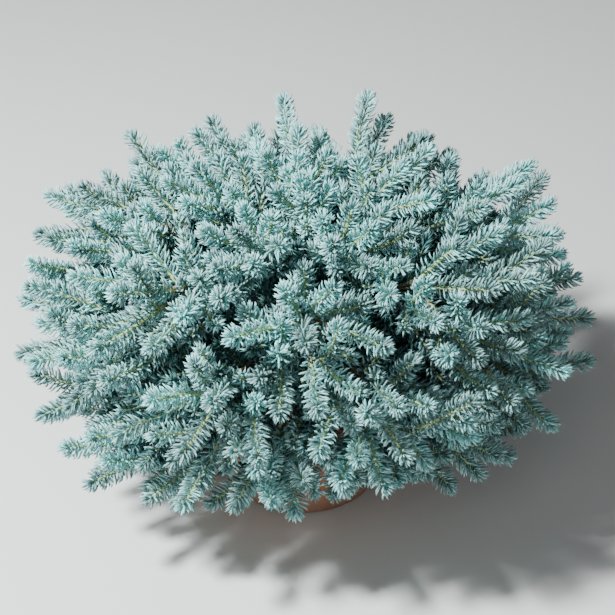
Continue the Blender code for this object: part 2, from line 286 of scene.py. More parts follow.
def shortened(paths, t):
    """The part of cubic curves before t: the lines between their control points are divided at t,
    then the lines between those points, and once more."""
    t = t[..., None]
    a, b, c, d = np.moveaxis(paths, -2, 0)
    ab, bc, cd = a + (b - a) * t, b + (c - b) * t, c + (d - c) * t
    abc, bcd = ab + (bc - ab) * t, bc + (cd - bc) * t
    return np.stack([a, ab, abc, abc + (bcd - abc) * t], axis=-2)


# Masses and their cells


def masses_of_crown():
    """Every mass of foliage: the top one, and then each tier's round the trunk."""
    masses = [Mass("top", 0, 0.0, 90.0, TOP_HALF_ANGLE, TOP_HALF_ANGLE, None)]
    for place, tier in enumerate(TIERS):
        half_width = 180 / tier.count
        for n in range(tier.count):
            cell = (tier.turn + 2 * half_width * n, tier.elevation, half_width, tier.half_height)
            masses.append(Mass(f"{tier.name}_{n + 1}", place, *cell, tier.bough_height))
    return masses


MASSES = masses_of_crown()
HEADINGS = np.array([heading(mass.azimuth, mass.elevation) for mass in MASSES])
TIER_OF_MASS = np.array([mass.tier for mass in MASSES])
ON_BOUGHS = [number for number, mass in enumerate(MASSES) if mass.bough_height is not None]


def aim_in_cell(mass, across, up):
    """Headings at places in a mass's cell, where across and up run from -1 to 1."""
    cell = MASSES[mass]
    if mass not in ON_BOUGHS:
        tilt = TOP_HALF_ANGLE * np.hypot(across, up)
        return heading(np.degrees(np.arctan2(up, across)), 90 - tilt)
    return heading(cell.azimuth + cell.half_width * across, cell.elevation + cell.half_height * up)


def depth_in_cell(mass, points):
    """How far points lie inside the planes through the crown's centre that part a mass from each
    other mass."""
    walls = unit(np.delete(HEADINGS[mass] - HEADINGS, mass, axis=0))
    return ((points - CROWN_CENTRE) @ walls.T).min(axis=-1)


def clear_of_pot(points, margin):
    """True where points lie beside the pot's rim or over it."""
    beside = np.hypot(points[..., 0], points[..., 1]) > POT_RIM_RADIUS + margin
    return beside | (points[..., 2] > POT_HEIGHT + margin)


def farthest_aim(chance, mass, taken, tries, margin, spread=1.0):
    """Of many seeded tries in a mass's cell, the heading whose place on the outline lies farthest
    from the places that are taken, and how far that is."""
    across, up = chance.uniform(-1, 1, (tries, 2)).T * spread
    aims = aim_in_cell(mass, across, up)
    tips = tip_of(aims, 1)
    room = (depth_in_cell(mass, tips) > margin) & clear_of_pot(tips, 2 * KEEP_CLEAR)
    aims, tips = aims[room], tips[room]
    apart = np.linalg.norm(tips[:, None] - tip_of(taken, 1)[None], axis=-1).min(axis=1)
    best = int(np.argmax(apart))
    return aims[best], apart[best]


def aims_of(mass):
    """Headings and shares of the crown's reach of the solids' sprays: the stem on the mass's own
    heading, the leaders, and then the farthest of many seeded tries."""
    chance = seeded(mass)
    aims, shares = [HEADINGS[mass]], [1.0]
    for azimuth, elevation, share in LEADERS:
        aim = heading(azimuth, elevation)
        if np.argmax(HEADINGS @ aim) == mass:
            aims.append(aim)
            shares.append(share)
    while len(aims) < SPRAYS_PER_MASS:
        aims.append(farthest_aim(chance, mass, np.array(aims), AIM_TRIES, AIM_MARGIN)[0])
        shares.append(chance.uniform(*SPRAY_REACH))
    return np.array(aims), np.array(shares)


# Limbs


def trunk_axis(z):
    """Centres of the trunk at heights: upright at the soil, then leaning by the square of the
    rise."""
    z = np.asarray(z, float)
    rise = (z - SOIL_TOP) / (TRUNK_TOP - SOIL_TOP)
    return np.stack([0 * z, 0 * z, z], axis=-1) + TRUNK_LEAN * (rise * rise)[..., None]


def trunk_radius(z):
    """Radii of the trunk at heights: a straight taper, and a flare at the foot that dies away
    exponentially."""
    rise = (z - SOIL_TOP) / (TRUNK_TOP - SOIL_TOP)
    flare = ROOT_FLARE * np.exp(-(z - SOIL_TOP) / ROOT_FLARE_HEIGHT)
    return TRUNK_RADIUS + (TRUNK_TIP_RADIUS - TRUNK_RADIUS) * rise + flare


def bough_path(mass):
    """Foot of a bough on the trunk, and the control points of its curve, which leaves the trunk
    square and swings to its mass's heading."""
    height = MASSES[mass].bough_height
    out = heading(MASSES[mass].azimuth, 0)
    foot = trunk_axis(height) + out * (trunk_radius(height) + SEAT_GAP)
    start = foot + out * BOUGH_ROOT
    tip = tip_of(HEADINGS[mass], BOUGH_SHARE)
    pull = np.linalg.norm(tip - start) * BOUGH_BEND
    return foot, np.array([start, start + out * pull, tip - HEADINGS[mass] * pull, tip])


def stem_path(mass):
    """Control points of a mass's stem, from its bough's tip or the trunk's to the outline."""
    if mass in ON_BOUGHS:
        path = bough_path(mass)[1]
        before, foot = curve(path, np.array(2 / 3)), path[3]
    else:
        before, foot = trunk_axis([TIERS[0].bough_height, TRUNK_TOP])
    along = unit(foot - before)
    foot = foot + along * GAP
    tip = tip_of(HEADINGS[mass], 1)
    pull = np.linalg.norm(tip - foot) / 3
    return np.array([foot, foot + along * pull, tip - HEADINGS[mass] * pull, tip])


def branch_path(start, tip, aim, turn=1.0, share=1 / 3):
    """Control points of a branch: it leaves straight for its tip and arrives between that
    direction and its own heading, which counts turn times."""
    straight = tip - start
    length = np.linalg.norm(straight)
    arrive = unit(aim * turn + straight / length)
    return np.array([start, start + straight / 3, tip - arrive * (length * share), tip])


# Growth of the crown


def swell(aim):
    """Share of its reach that the outline gains at a heading: each swell's gain, dying away by the
    square of the angle from it."""
    azimuth, elevation, gain, spread = np.array(SWELLS).T
    apart = np.degrees(np.arccos(np.minimum(heading(azimuth, elevation) @ aim, 1)))
    return np.sum(gain * np.exp(-((apart / spread) ** 2)))


def finer_path(chance, mass, aim, parents, wish, layer):
    """Path of a finer shoot to a place near the outline. Its heading climbs more the higher it is
    and fans away from its mass's own, and its fork is the one on its parents that suits its
    length, angle and heading best."""
    finger = FINGER_REACH if chance.random() < FINGERS else 0.0
    tip = tip_of(aim, chance.uniform(*layer.reach) + finger + swell(aim))
    high = max(aim[2], 0)
    fan = (FAN_LOW + FAN_HIGH * high) * (aim - HEADINGS[mass])
    rise = np.array([0, 0, RISE + CLIMB * high])
    aim = unit(aim + fan + chance.normal(0, SWING, 3) + rise)
    usual = wish.length * layer.length * TIERS[MASSES[mass].tier].vigour
    length = usual * chance.uniform(*LENGTH_RANGE)
    t = np.broadcast_to(np.linspace(*layer.forks, FORK_STEPS), (len(parents), FORK_STEPS))
    spots, along = curve(parents[:, None], t), slope(parents[:, None], t)
    straight = tip - spots
    far = np.linalg.norm(straight, axis=-1)
    bend = np.arccos(np.clip((straight * along).sum(axis=-1) / far, -1, 1))
    astray = np.arccos(np.clip(straight @ aim / far, -1, 1))
    cost = LENGTH_WEIGHT * np.abs(far / length - 1) + ANGLE_WEIGHT * np.abs(bend / wish.angle - 1)
    cost = cost + AIM_WEIGHT * astray / wish.angle
    return branch_path(spots.reshape(-1, 3)[np.argmin(cost)], tip, aim, TURN_OUT, OUT_SHARE)


def main_paths(mass):
    """Paths of the solids' own sprays in a mass, the stem first, and their bare shares."""
    chance = seeded(mass, MAIN)
    paths, bare = [], []
    for n, (aim, share) in enumerate(zip(*aims_of(mass))):
        fork, length = chance.uniform(*STEM_FORKS), chance.uniform(*SPRAY_LENGTH)
        path = stem_path(mass)
        if n:
            path = branch_path(curve(path, np.array(fork)), tip_of(aim, share), aim)
        paths.append(path)
        bare.append(max(LEAST_BARE, 1 - length / np.linalg.norm(path[3] - path[0])))
    return np.array(paths), np.array(bare)


def finer_paths(mass, mains, wish):
    """Paths and layers of a mass's finer shoots. Each is the farthest of many tries from those of
    its layer, until none is farther than the layer's spacing. The outline's shoots may fork from
    one another, the inner ones only from the main branches or the bough."""
    chance = seeded(mass, FINE)
    spacing = wish.spacing * TIERS[MASSES[mass].tier].vigour
    paths, layers = [], []
    for number, layer in enumerate(LAYERS):
        taken = HEADINGS[mass][None] if number else aims_of(mass)[0]
        parents = mains
        if layer.parents == "boughs" and mass in ON_BOUGHS:
            parents = bough_path(mass)[1][None]
        for _ in range(FINE_MOST):
            aim, apart = farthest_aim(chance, mass, taken, FINE_TRIES, FINE_MARGIN, FINE_SPREAD)
            if apart < spacing * layer.spacing:
                break
            taken = np.vstack([taken, aim])
            path = finer_path(chance, mass, aim, parents, wish, layer)
            if not clear_of_pot(path[3], KEEP_CLEAR):
                continue
            if layer.parents == "shoots":
                parents = np.concatenate([parents, path[None]])
            paths.append(path)
            layers.append(number + 1)
    return np.array(paths), np.array(layers)


@functools.cache
def grow_crown(wish):
    """Every shoot of the crown, each short of the outline by the reach of its needles. order is 0
    on the solids' own sprays and the layer's number on the finer ones. bare and fresh are the
    shares of a path where its needles and where this year's growth begin."""
    parts = []
    for mass in range(len(MASSES)):
        mains, bare = main_paths(mass)
        fines, layers = finer_paths(mass, mains, wish)
        paths = np.concatenate([mains, fines])
        order = np.concatenate([np.zeros(len(mains), int), layers])
        length = np.linalg.norm(paths[:, 3] - paths[:, 0], axis=-1)
        kept = np.maximum(1 - NEEDLE_REACH / length, LEAST_KEPT)
        paths, length = shortened(paths, kept), length * kept
        fresh = 1 - seeded(mass, AGE).uniform(*FRESH_LENGTH, len(paths)) / length
        fresh = np.where(order == 0, np.clip(fresh, 0, 1), 0.0)
        bare = np.concatenate([bare, np.full(len(fines), FOOT_BARE)])
        radius = np.where(order == 0, wish.main_radius, wish.foot_radius)
        parts.append((paths, np.full(len(paths), mass), radius, length, bare, fresh, order))
    return Shoots(*(np.concatenate(part) for part in zip(*parts)))


# Surfaces


def joined(*shapes):
    """Several sets of corners and faces as one, with the later faces' corners counted on."""
    corners, faces, count = [], [], 0
    for points, *face_sets in shapes:
        corners.append(points)
        faces += [part + count for part in face_sets]
        count += len(points)
    return np.concatenate(corners), *faces


def repeated(corners, *face_sets):
    """Many shapes with the same faces as one. corners is (shapes, corners of one, 3)."""
    count, each = corners.shape[:2]
    offset = (np.arange(count) * each)[:, None, None]
    counted = ((faces + offset).reshape(-1, faces.shape[-1]) for faces in face_sets)
    return corners.reshape(-1, 3), *counted


def tube_faces(rings, sides):
    """Faces of a closed tube: four-sided ones between its rings, and triangles to two poles, whose
    corners come after the rings'."""
    n, k = np.meshgrid(np.arange(rings - 1), np.arange(sides), indexing="ij")
    after = (k + 1) % sides
    quads = np.stack([n * sides + k, n * sides + after, (n + 1) * sides + after, (n + 1) * sides + k])
    low, on = k[0], after[0]
    high = low + (rings - 1) * sides
    pole = np.full(sides, rings * sides)
    foot = np.stack([pole, on, low], axis=1)
    tip = np.stack([pole + 1, high, on + (rings - 1) * sides], axis=1)
    return quads.reshape(4, -1).T, np.concatenate([foot, tip])


def swept(centres, ahead, radii, sides):
    """Closed limbs. Corner k of ring n stands off its centre by the radius along side cos(a) +
    third sin(a), with a = 2 pi k / sides, and a pole closes each end. centres is (limbs, rings,
    3), and radii is (limbs, rings) or (limbs, rings, sides)."""
    limbs, rings = centres.shape[:2]
    side, third = framed(ahead, (centres[:, -1] - centres[:, 0])[:, None])
    out = between(side[:, :, None], third[:, :, None], TURN * np.arange(sides) / sides)
    radii = np.broadcast_to(radii.reshape(limbs, rings, -1), (limbs, rings, sides))
    walls = (centres[:, :, None] + out * radii[..., None]).reshape(limbs, rings * sides, 3)
    corners = np.concatenate([walls, centres[:, :1], centres[:, -1:]], axis=1)
    return repeated(corners, *tube_faces(rings, sides))


def turned(profile, sides):
    """A turned surface: each point of the profile, radius and height, is carried round the Z axis,
    and a pole closes the mesh at both ends."""
    turn = TURN * np.arange(sides) / sides
    r, z = (np.repeat(part[:, None], sides, axis=1) for part in profile.T)
    rings = np.stack([r * np.cos(turn), r * np.sin(turn), z], axis=-1).reshape(-1, 3)
    poles = np.array([[0, 0, profile[0, 1]], [0, 0, profile[-1, 1]]])
    return np.concatenate([rings, poles]), *tube_faces(len(profile), sides)


def lattice(u, v, cells_u, cells_v, chance):
    """Smooth noise from 0 to 1 on a grid of random values that closes on itself in u. Between the
    values it follows the cubic 3x^2 - 2x^3."""
    values = chance.random((cells_u, cells_v + 1))
    x, y = (u % 1) * cells_u, np.clip(v, 0, 1 - 1e-9) * cells_v
    i, j = x.astype(int) % cells_u, y.astype(int)
    a, b = x - np.floor(x), y - j
    a, b = a * a * (3 - 2 * a), b * b * (3 - 2 * b)
    low = values[i, j] * (1 - a) + values[(i + 1) % cells_u, j] * a
    high = values[i, j + 1] * (1 - a) + values[(i + 1) % cells_u, j + 1] * a
    return low * (1 - b) + high * b


def mesh_of(name, corners, *face_sets):
    """Mesh of an array of corners and of arrays of faces, each with one count of corners."""
    mesh = bpy.data.meshes.new(name)
    loops = np.concatenate([faces.ravel() for faces in face_sets])
    sizes = np.concatenate([np.full(len(faces), faces.shape[1]) for faces in face_sets])
    mesh.vertices.add(len(corners))
    mesh.vertices.foreach_set("co", corners.astype(np.float32).ravel())
    mesh.loops.add(len(loops))
    mesh.loops.foreach_set("vertex_index", loops.astype(np.int32))
    mesh.polygons.add(len(sizes))
    starts = np.concatenate([[0], np.cumsum(sizes)[:-1]])
    mesh.polygons.foreach_set("loop_start", starts.astype(np.int32))
    mesh.update(calc_edges=True)
    return mesh


def placed(name, data):
    """A new object in the scene that holds this data."""
    made = bpy.data.objects.new(name, data)
    bpy.context.scene.collection.objects.link(made)
    return made


def add_piece(name, made, finish, nodes, smooth=False):
    """A finished piece: its corners and faces, its finish, the body that it rides on and the nodes
    that it stands for."""
    mesh = mesh_of(name, *made)
    if smooth:
        mesh.shade_smooth()
    mesh.materials.append(finish)
    piece = placed(name, mesh)
    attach(piece, BODY)
    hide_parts(*nodes)
    return piece


# Finishes


class Grain:
    """A value that changes over a surface. Arithmetic on it adds Math nodes to its finish."""

    def __init__(self, finish, socket):
        self.finish = finish
        self.socket = socket

    def maths(self, operation, *values):
        return self.finish.node("ShaderNodeMath", {"operation": operation}, dict(enumerate(values)))

    def __add__(self, other):
        return self.maths("ADD", self, other)

    def __sub__(self, other):
        return self.maths("SUBTRACT", self, other)

    def __rsub__(self, other):
        return self.maths("SUBTRACT", other, self)

    def __mul__(self, other):
        return self.maths("MULTIPLY", self, other)

    __radd__ = __add__
    __rmul__ = __mul__


class Finish:
    """A material under construction, round one principled shader."""

    def __init__(self, name, **constants):
        self.material = bpy.data.materials.new(name)
        self.material.use_nodes = True
        self.tree = self.material.node_tree
        self.shader = self.tree.nodes["Principled BSDF"]
        self.paint(**constants)

    def feed(self, node, sockets):
        """Sets or links the sockets of a node."""
        for key, value in sockets.items():
            if isinstance(value, Grain):
                self.tree.links.new(value.socket, node.inputs[key])
            else:
                node.inputs[key].default_value = value

    def node(self, kind, settings=None, sockets=None, output=0):
        """Adds a node: its settings first, then its sockets. Gives one of its outputs."""
        made = self.tree.nodes.new(kind)
        for key, value in (settings or {}).items():
            setattr(made, key, value)
        self.feed(made, sockets or {})
        return Grain(self, made.outputs[output])

    def place(self):
        """The object's own coordinates, in metres."""
        return self.node("ShaderNodeTexCoord", output="Object")

    def noise(self, size, detail=2.0, stretch=(1, 1, 1)):
        """Noise from 0 to 1 whose features have about this size in metres."""
        sockets = {"Vector": self.place(), "Scale": stretch}
        vector = self.node("ShaderNodeMapping", sockets=sockets)
        sockets = {"Vector": vector, "Scale": 1 / size, "Detail": detail}
        return self.node("ShaderNodeTexNoise", sockets=sockets)

    def step(self, value, low, high):
        """A value's rise from 0 at low to 1 at high, eased at both ends."""
        settings = {"interpolation_type": "SMOOTHSTEP"}
        sockets = {"Value": value, "From Min": low, "From Max": high}
        return self.node("ShaderNodeMapRange", settings, sockets)

    def blend(self, factor, first, second):
        """Colour between two colours."""
        sockets = {0: factor, 6: colour_of(first), 7: colour_of(second)}
        return self.node("ShaderNodeMix", {"data_type": "RGBA"}, sockets, output=2)

    def bump(self, height, distance):
        """Normal of a relief of this depth in metres."""
        return self.node("ShaderNodeBump", sockets={"Height": height, "Distance": distance})

    def paint(self, **sockets):
        """Feeds the shader, whose sockets are named with _ for a space, and gives the material."""
        self.feed(self.shader, {key.replace("_", " "): value for key, value in sockets.items()})
        return self.material


def colour_of(value):
    """A colour as a link or as four numbers."""
    return value if isinstance(value, Grain) else (*tuple(value)[:3], 1.0)


def shaded(colour, share):
    """A colour with each number times a share."""
    return tuple(part * share for part in tuple(colour)[:3])


def needle_finish(name, colour):
    """Needles under a thin wax bloom, which pales them in small patches, with larger patches of
    painted light and shade over them.
    """
    finish = Finish(name, Roughness=0.55, Specular_IOR_Level=0.2)
    # The 0.030 noise is the wax bloom; the 0.110 noise is painted light and shade over groups of
    # shoots
    patches = finish.noise(0.030) * 0.5 + finish.noise(0.110) * 0.5
    bloom = finish.step(patches, 0.38, 0.62)
    base = finish.blend(bloom, shaded(colour, 0.82), shaded(colour, 1.10))
    return finish.paint(Base_Color=base)


def twig_finish(name, colour):
    """Grooved bark of a young shoot, lined along by the feet of its needles."""
    finish = Finish(name, Roughness=0.7)
    ridges = finish.noise(0.0016)
    base = finish.blend(ridges, shaded(colour, 0.62), shaded(colour, 1.25))
    return finish.paint(Base_Color=base, Normal=finish.bump(ridges, 0.0006))


def bark_finish(name, colour):
    """Scaly grey-brown bark, redder in its cracks."""
    finish = Finish(name)
    flakes = finish.noise(0.006, 4.0, (1.0, 1.0, 0.6))
    fine = finish.noise(0.0012, 3.0)
    cracks = finish.step(flakes, 0.35, 0.62)
    base = finish.blend(cracks, (0.075, 0.030, 0.016), colour)
    base = finish.blend(fine * 0.5, base, shaded(colour, 1.6))
    relief = finish.bump(flakes + fine * 0.3, 0.0012)
    return finish.paint(Base_Color=base, Roughness=0.95 - 0.2 * cracks, Normal=relief)


def clay_finish(name, colour, bloom_colour):
    """Fired clay with a chalky mineral bloom low on the wall, damp patches and fine grit."""
    finish = Finish(name)
    height = finish.node("ShaderNodeSeparateXYZ", sockets={"Vector": finish.place()}, output="Z")
    cloud = finish.noise(0.045, 4.0, (1, 1, 0.55))
    grit = finish.noise(0.0009, 2.0)
    specks = finish.step(finish.noise(0.0021, 1.0), 0.66, 0.74)
    low = 1 - finish.step(height, 0.005, 0.085)
    crust = finish.step(cloud * 0.80 + low * 0.34 + grit * 0.12, 0.58, 0.90)
    damp = finish.step(finish.noise(0.09, 3.0), 0.52, 0.72)
    base = finish.blend(grit, shaded(colour, 0.82), shaded(colour, 1.14))
    base = finish.blend(damp * 0.45, base, shaded(colour, 0.55))
    base = finish.blend(specks * 0.4, base, shaded(colour, 0.4))
    base = finish.blend(crust * 0.42, base, bloom_colour)
    rough = 0.80 + 0.15 * crust - 0.12 * damp
    relief = finish.bump(grit + cloud * 0.8 + crust * 0.6, 0.0005)
    return finish.paint(Base_Color=base, Roughness=rough, Normal=relief)


def compost_finish(name, colour):
    """Dark crumbly compost with paler fibres."""
    finish = Finish(name)
    crumbs = finish.noise(0.005, 5.0)
    fibre = finish.step(finish.noise(0.0025, 2.0, (1, 3, 1)), 0.60, 0.72)
    base = finish.blend(crumbs, shaded(colour, 0.4), shaded(colour, 1.7))
    base = finish.blend(fibre * 0.5, base, (0.16, 0.09, 0.05))
    relief = finish.bump(crumbs, 0.003)
    return finish.paint(Base_Color=base, Roughness=0.95 - 0.1 * fibre, Normal=relief)


# Settings


def length_prop(name, description, default):
    return bpy.props.FloatProperty(
        name=name, description=description, default=default, min=0.0, unit="LENGTH", precision=4
    )


def angle_prop(name, description, degrees):
    return bpy.props.FloatProperty(
        name=name, description=description, default=math.radians(degrees), unit="ROTATION"
    )


def colour_prop(name, description, default):
    return bpy.props.FloatVectorProperty(
        name=name, description=description, default=default, subtype="COLOR", size=3, min=0, max=1
    )


def strength_prop(name, description, default, unit="NONE"):
    return bpy.props.FloatProperty(
        name=name, description=description, default=default, min=0.0, unit=unit
    )


class ShootSettings(bpy.types.PropertyGroup):
    spacing: length_prop("Spacing", "Least distance between the tips of two shoots", 0.0350)
    side_length: length_prop("Side length", "Usual length of a side shoot", 0.120)
    side_angle: angle_prop("Side angle", "Usual angle between a side shoot and its branch", 38)
    main_radius: length_prop("Branch radius", "Radius at the foot of a branch", 0.0030)
    foot_radius: length_prop("Shoot radius", "Radius at the foot of a side shoot", 0.0024)
    tip_radius: length_prop("Tip radius", "Radius at the tip of every shoot", 0.0016)
    young: colour_prop("Young bark", "Colour of this year's shoots", (0.40, 0.47, 0.20))
    old: colour_prop("Old bark", "Colour of the branches behind them", (0.28, 0.17, 0.085))
    bud: colour_prop("Buds", "Colour of buds", (0.42, 0.44, 0.22))
    scale: colour_prop("Bud scales", "Colour of the scales at a shoot's foot", (0.42, 0.22, 0.12))


class NeedleSettings(bpy.types.PropertyGroup):
    length: length_prop("Length", "Length of the longest needles", 0.0180)
    width: length_prop("Width", "Width of a needle at its belly", 0.0027)
    spacing: length_prop("Spacing", "Length of shoot for each needle", 0.00078)
    lean_foot: angle_prop("Lean", "Angle between a needle's foot and its shoot", 62)
    lean_tip: angle_prop("Tip lean", "Angle between a needle's point and its shoot", 44)
    frosted: colour_prop("Frosted", "Palest needles, under the most wax", (0.375, 0.77, 0.77))
    blue: colour_prop("Blue", "Silver-blue needles", (0.360, 0.60, 0.595))
    green: colour_prop("Blue-green", "Needles with less wax", (0.235, 0.390, 0.385))
    # The inner tint is the older needles' own greener, less waxy colour, darkened further as painted
    # shade deep in the crown
    inner: colour_prop("Inner", "Older needles inside the crown", (0.060, 0.145, 0.145))


class BarkSettings(bpy.types.PropertyGroup):
    colour: colour_prop("Bark", "Colour of the trunk and boughs", (0.20, 0.12, 0.075))
    relief: length_prop("Relief", "Depth of the bark's scales", 0.0011)


class PotSettings(bpy.types.PropertyGroup):
    clay: colour_prop("Clay", "Colour of the fired clay", (0.42, 0.145, 0.065))
    bloom: colour_prop("Bloom", "Colour of the chalky mineral bloom", (0.56, 0.44, 0.35))
    mix: colour_prop("Potting mix", "Colour of the compost", (0.055, 0.032, 0.019))
    crumb: colour_prop("Bark crumbs", "Colour of the bark crumbs on it", (0.17, 0.085, 0.045))
    rings: length_prop("Throwing rings", "Depth of the rings left in the wall", 0.00035)


class StageSettings(bpy.types.PropertyGroup):
    distance: length_prop("Distance", "Camera's distance from the crown", 2.0)
    elevation: angle_prop("Elevation", "Camera's height above the horizon", 34.5)
    view_angle: angle_prop("View angle", "Camera's field of view", 20.9)
    floor: colour_prop("Floor", "Colour of the floor", (0.70, 0.70, 0.69))
    key: strength_prop("Key light", "Key light's power", 220.0, "POWER")
    fill: strength_prop("Fill light", "Fill light's power", 13.0, "POWER")
    sky: strength_prop("Sky", "Strength of the sky's light", 0.15)


SETTINGS = {
    "spruce_shoots": ShootSettings,
    "spruce_needles": NeedleSettings,
    "spruce_bark": BarkSettings,
    "spruce_pot": PotSettings,
    "spruce_stage": StageSettings,
}


def shoots_for(scene):
    """The grown crown for the scene's settings."""
    s = scene.spruce_shoots
    wish = (s.side_length, s.side_angle, s.spacing, s.foot_radius, s.main_radius)
    return grow_crown(Wish(*(round(value, 6) for value in wish)))


def foliage_nodes(tier):
    """Names of the CAD masses of a tier. The top mass goes with the crown's tier."""
    return [f"foliage_{mass.name}" for mass in MASSES if mass.tier == tier]


# Shapes of needles

# Three-sided rings, whose widths are shares of the needle's own
KEEL = np.radians([-90.0, 30.0, 150.0])
BLADE_BELLY = 0.74
BLADE_FOOT = 0.78
BLADE_FACES = (
    np.array([[0, 1, 4, 3], [1, 2, 5, 4], [2, 0, 3, 5]]),
    np.array([[2, 1, 0], [3, 4, 6], [4, 5, 6], [5, 3, 6]]),
)
SPINDLE_BELLY = 0.45
SPINDLE_WIDTH = 1.3
SPINDLE_FACES = np.array([[2, 1, 0], [3, 2, 0], [1, 3, 0], [1, 2, 4], [2, 3, 4], [3, 1, 4]])
SPIKE_WIDTH = 1.6
SPIKE_FACES = np.array([[2, 1, 0], [0, 1, 3], [1, 2, 3], [2, 0, 3]])


def ring_about(centre, along, across, width):
    """Three corners half a width off each centre, in the plane square to along."""
    spokes = between(across[:, None], np.cross(along, across)[:, None], KEEL)
    return centre[:, None] + spokes * (width / 2)[:, None, None]


def bent(roots, first, second, length, belly):
    """Bellies and points of needles that run along first to their belly, at a share of their
    length, and on along second."""
    middle = roots + first * (length * belly)[:, None]
    return middle, middle + second * (length * (1 - belly))[:, None]


def blades(roots, first, second, across, length, width, belly=BLADE_BELLY):
    """Pointed blades that bend at their belly, where they are widest, and stand on a narrower
    foot. across is the unit vector over a blade's face."""
    middle, points = bent(roots, first, second, length, belly)
    foot = ring_about(roots, first, across, width * BLADE_FOOT)
    ring = ring_about(middle, first, across, width)
    return repeated(np.concatenate([foot, ring, points[:, None]], axis=1), *BLADE_FACES)


def spindles(roots, first, second, across, length, width):
    """Needles pointed at both ends, which bend at their belly as blades do."""
    middle, points = bent(roots, first, second, length, SPINDLE_BELLY)
    ring = ring_about(middle, first, across, width * SPINDLE_WIDTH)
    corners = np.concatenate([roots[:, None], ring, points[:, None]], axis=1)
    return repeated(corners, SPINDLE_FACES)


def spikes(roots, first, second, across, length, width):
    """Straight points, for needles deep in the crown: a wide foot is drawn to one point between
    the two directions."""
    along = unit(first + second)
    foot = ring_about(roots, along, across, width * SPIKE_WIDTH)
    points = roots + along * length[:, None]
    return repeated(np.concatenate([foot, points[:, None]], axis=1), SPIKE_FACES)


# Needles

# How each shoot is dealt its tint, and how its needles stray from it
TINTS = ("frosted", "blue", "green", "inner")
INNER_SHADE_TINT = TINTS.index("inner")
TINT_STRAY = 0.5
# Lift towards the paler tints where a shoot faces up: a painted highlight on the crown's top
PAINTED_TOP_LIGHT = 0.6
TINT_STEPS = (-0.42, 0.12)
NEEDLE_STRAY = (0.28, 0.72)
SECOND_LAYER = 2

# How needles stand along a shoot. The shares of length and lean are those at its foot or tip
TIP_CROWD = 1.6
SHOOT_TURN = 2.4
TURN_STRAY = 0.25
OLD_SIZE = 0.85
SIZE_RANGE = (0.86, 1.08)
FOOT_FADE = 0.006
FOOT_SHORTER = 0.38
TIP_FADE = 0.005
TIP_SHORTER = 0.22
LEAN_STRAY = (0.10, 0.18)
TIP_STRAY = 0.12
LEAN_CLOSES = 0.66
TIP_CLOSES = 0.45
LIFT = np.array([0, 0, 0.20])
TWIG_TIP = 0.0008
ROOT_SHARE = 0.6
OVERLAP = 0.007
POT_ROOM = 0.002

Needles = namedtuple("Needles", "shoot t order span old")


def needle_rows(shoots, spacing):
    """Places of all needles on the shoots. A stretch has its length over the spacing, times its
    own share: this year's growth by its layer, and the older growth behind it less. They crowd
    towards the tip, because u = 1 - (1 - v)^TIP_CROWD for even v."""
    rows = []
    fresh = np.maximum(shoots.fresh, shoots.bare)
    shares = np.array([1.0, *(layer.needles for layer in LAYERS)])[shoots.order]
    stretches = ((fresh, np.ones_like(fresh), shares, False), (shoots.bare, fresh, OLD_NEEDLES, True))
    for start, end, share, old in stretches:
        count = np.round((end - start) * shoots.length / spacing * share).astype(int)
        shoot = np.repeat(np.arange(len(count)), count)
        order = np.arange(count.sum()) - np.repeat(np.cumsum(count) - count, count)
        v = (order + 0.5) / count[shoot]
        u = v if old else 1 - (1 - v) ** TIP_CROWD
        t = start[shoot] + (end - start)[shoot] * u
        rows.append(Needles(shoot, t, order, u, np.full(len(t), old)))
    return Needles(*(np.concatenate(parts) for parts in zip(*rows)))


def needle_parts(shoots, rows, look):
    """Roots, directions and sizes of the needles, as the shapes above take them. A needle stands
    out at its golden angle round the shoot, leaves at lean_foot and bends to lean_tip and upwards.
    It is shorter at both ends of a shoot, and closes over its tip, by shares that die away
    exponentially."""
    chance = seeded(NEEDLE)
    shoot, count = rows.shoot, len(rows.t)
    paths = shoots.paths[shoot]
    centre, ahead = curve(paths, rows.t), slope(paths, rows.t)
    side, third = framed(ahead, paths[:, 3] - paths[:, 0])
    turn = rows.order * GOLDEN_ANGLE + shoot * SHOOT_TURN + chance.normal(0, TURN_STRAY, count)
    out = between(side, third, turn)
    fresh = shoots.length[shoot] * (1 - np.maximum(shoots.fresh, shoots.bare)[shoot])
    foot_near = np.exp(-rows.span * fresh / FOOT_FADE)
    tip_near = np.where(rows.old, 0, np.exp(-(1 - rows.span) * fresh / TIP_FADE))
    size = 1 - FOOT_SHORTER * foot_near - TIP_SHORTER * tip_near
    length = look.length * size * np.where(rows.old, OLD_SIZE, 1) * chance.uniform(*SIZE_RANGE, count)
    stray = LEAN_STRAY[0] + LEAN_STRAY[1] * tip_near
    foot = look.lean_foot + chance.normal(0, 1, count) * stray - LEAN_CLOSES * tip_near
    tip = look.lean_tip + chance.normal(0, TIP_STRAY, count) - TIP_CLOSES * tip_near
    first = between(ahead, out, foot)
    second = unit(between(ahead, out, tip) + LIFT)
    radius = shoots.radius[shoot] * (1 - rows.t) + TWIG_TIP * rows.t
    roots = centre + out * (radius * ROOT_SHARE)[:, None]
    return roots, first, second, unit(np.cross(ahead, out)), length, np.full(count, look.width)


def with_room(shoots, rows, points):
    """True for needles whose points stay near their own mass's space and clear of the pot."""
    room = clear_of_pot(points, POT_ROOM)
    mass = shoots.mass[rows.shoot]
    for m in range(len(MASSES)):
        here = mass == m
        room[here] &= depth_in_cell(m, points[here]) > -OVERLAP
    return room


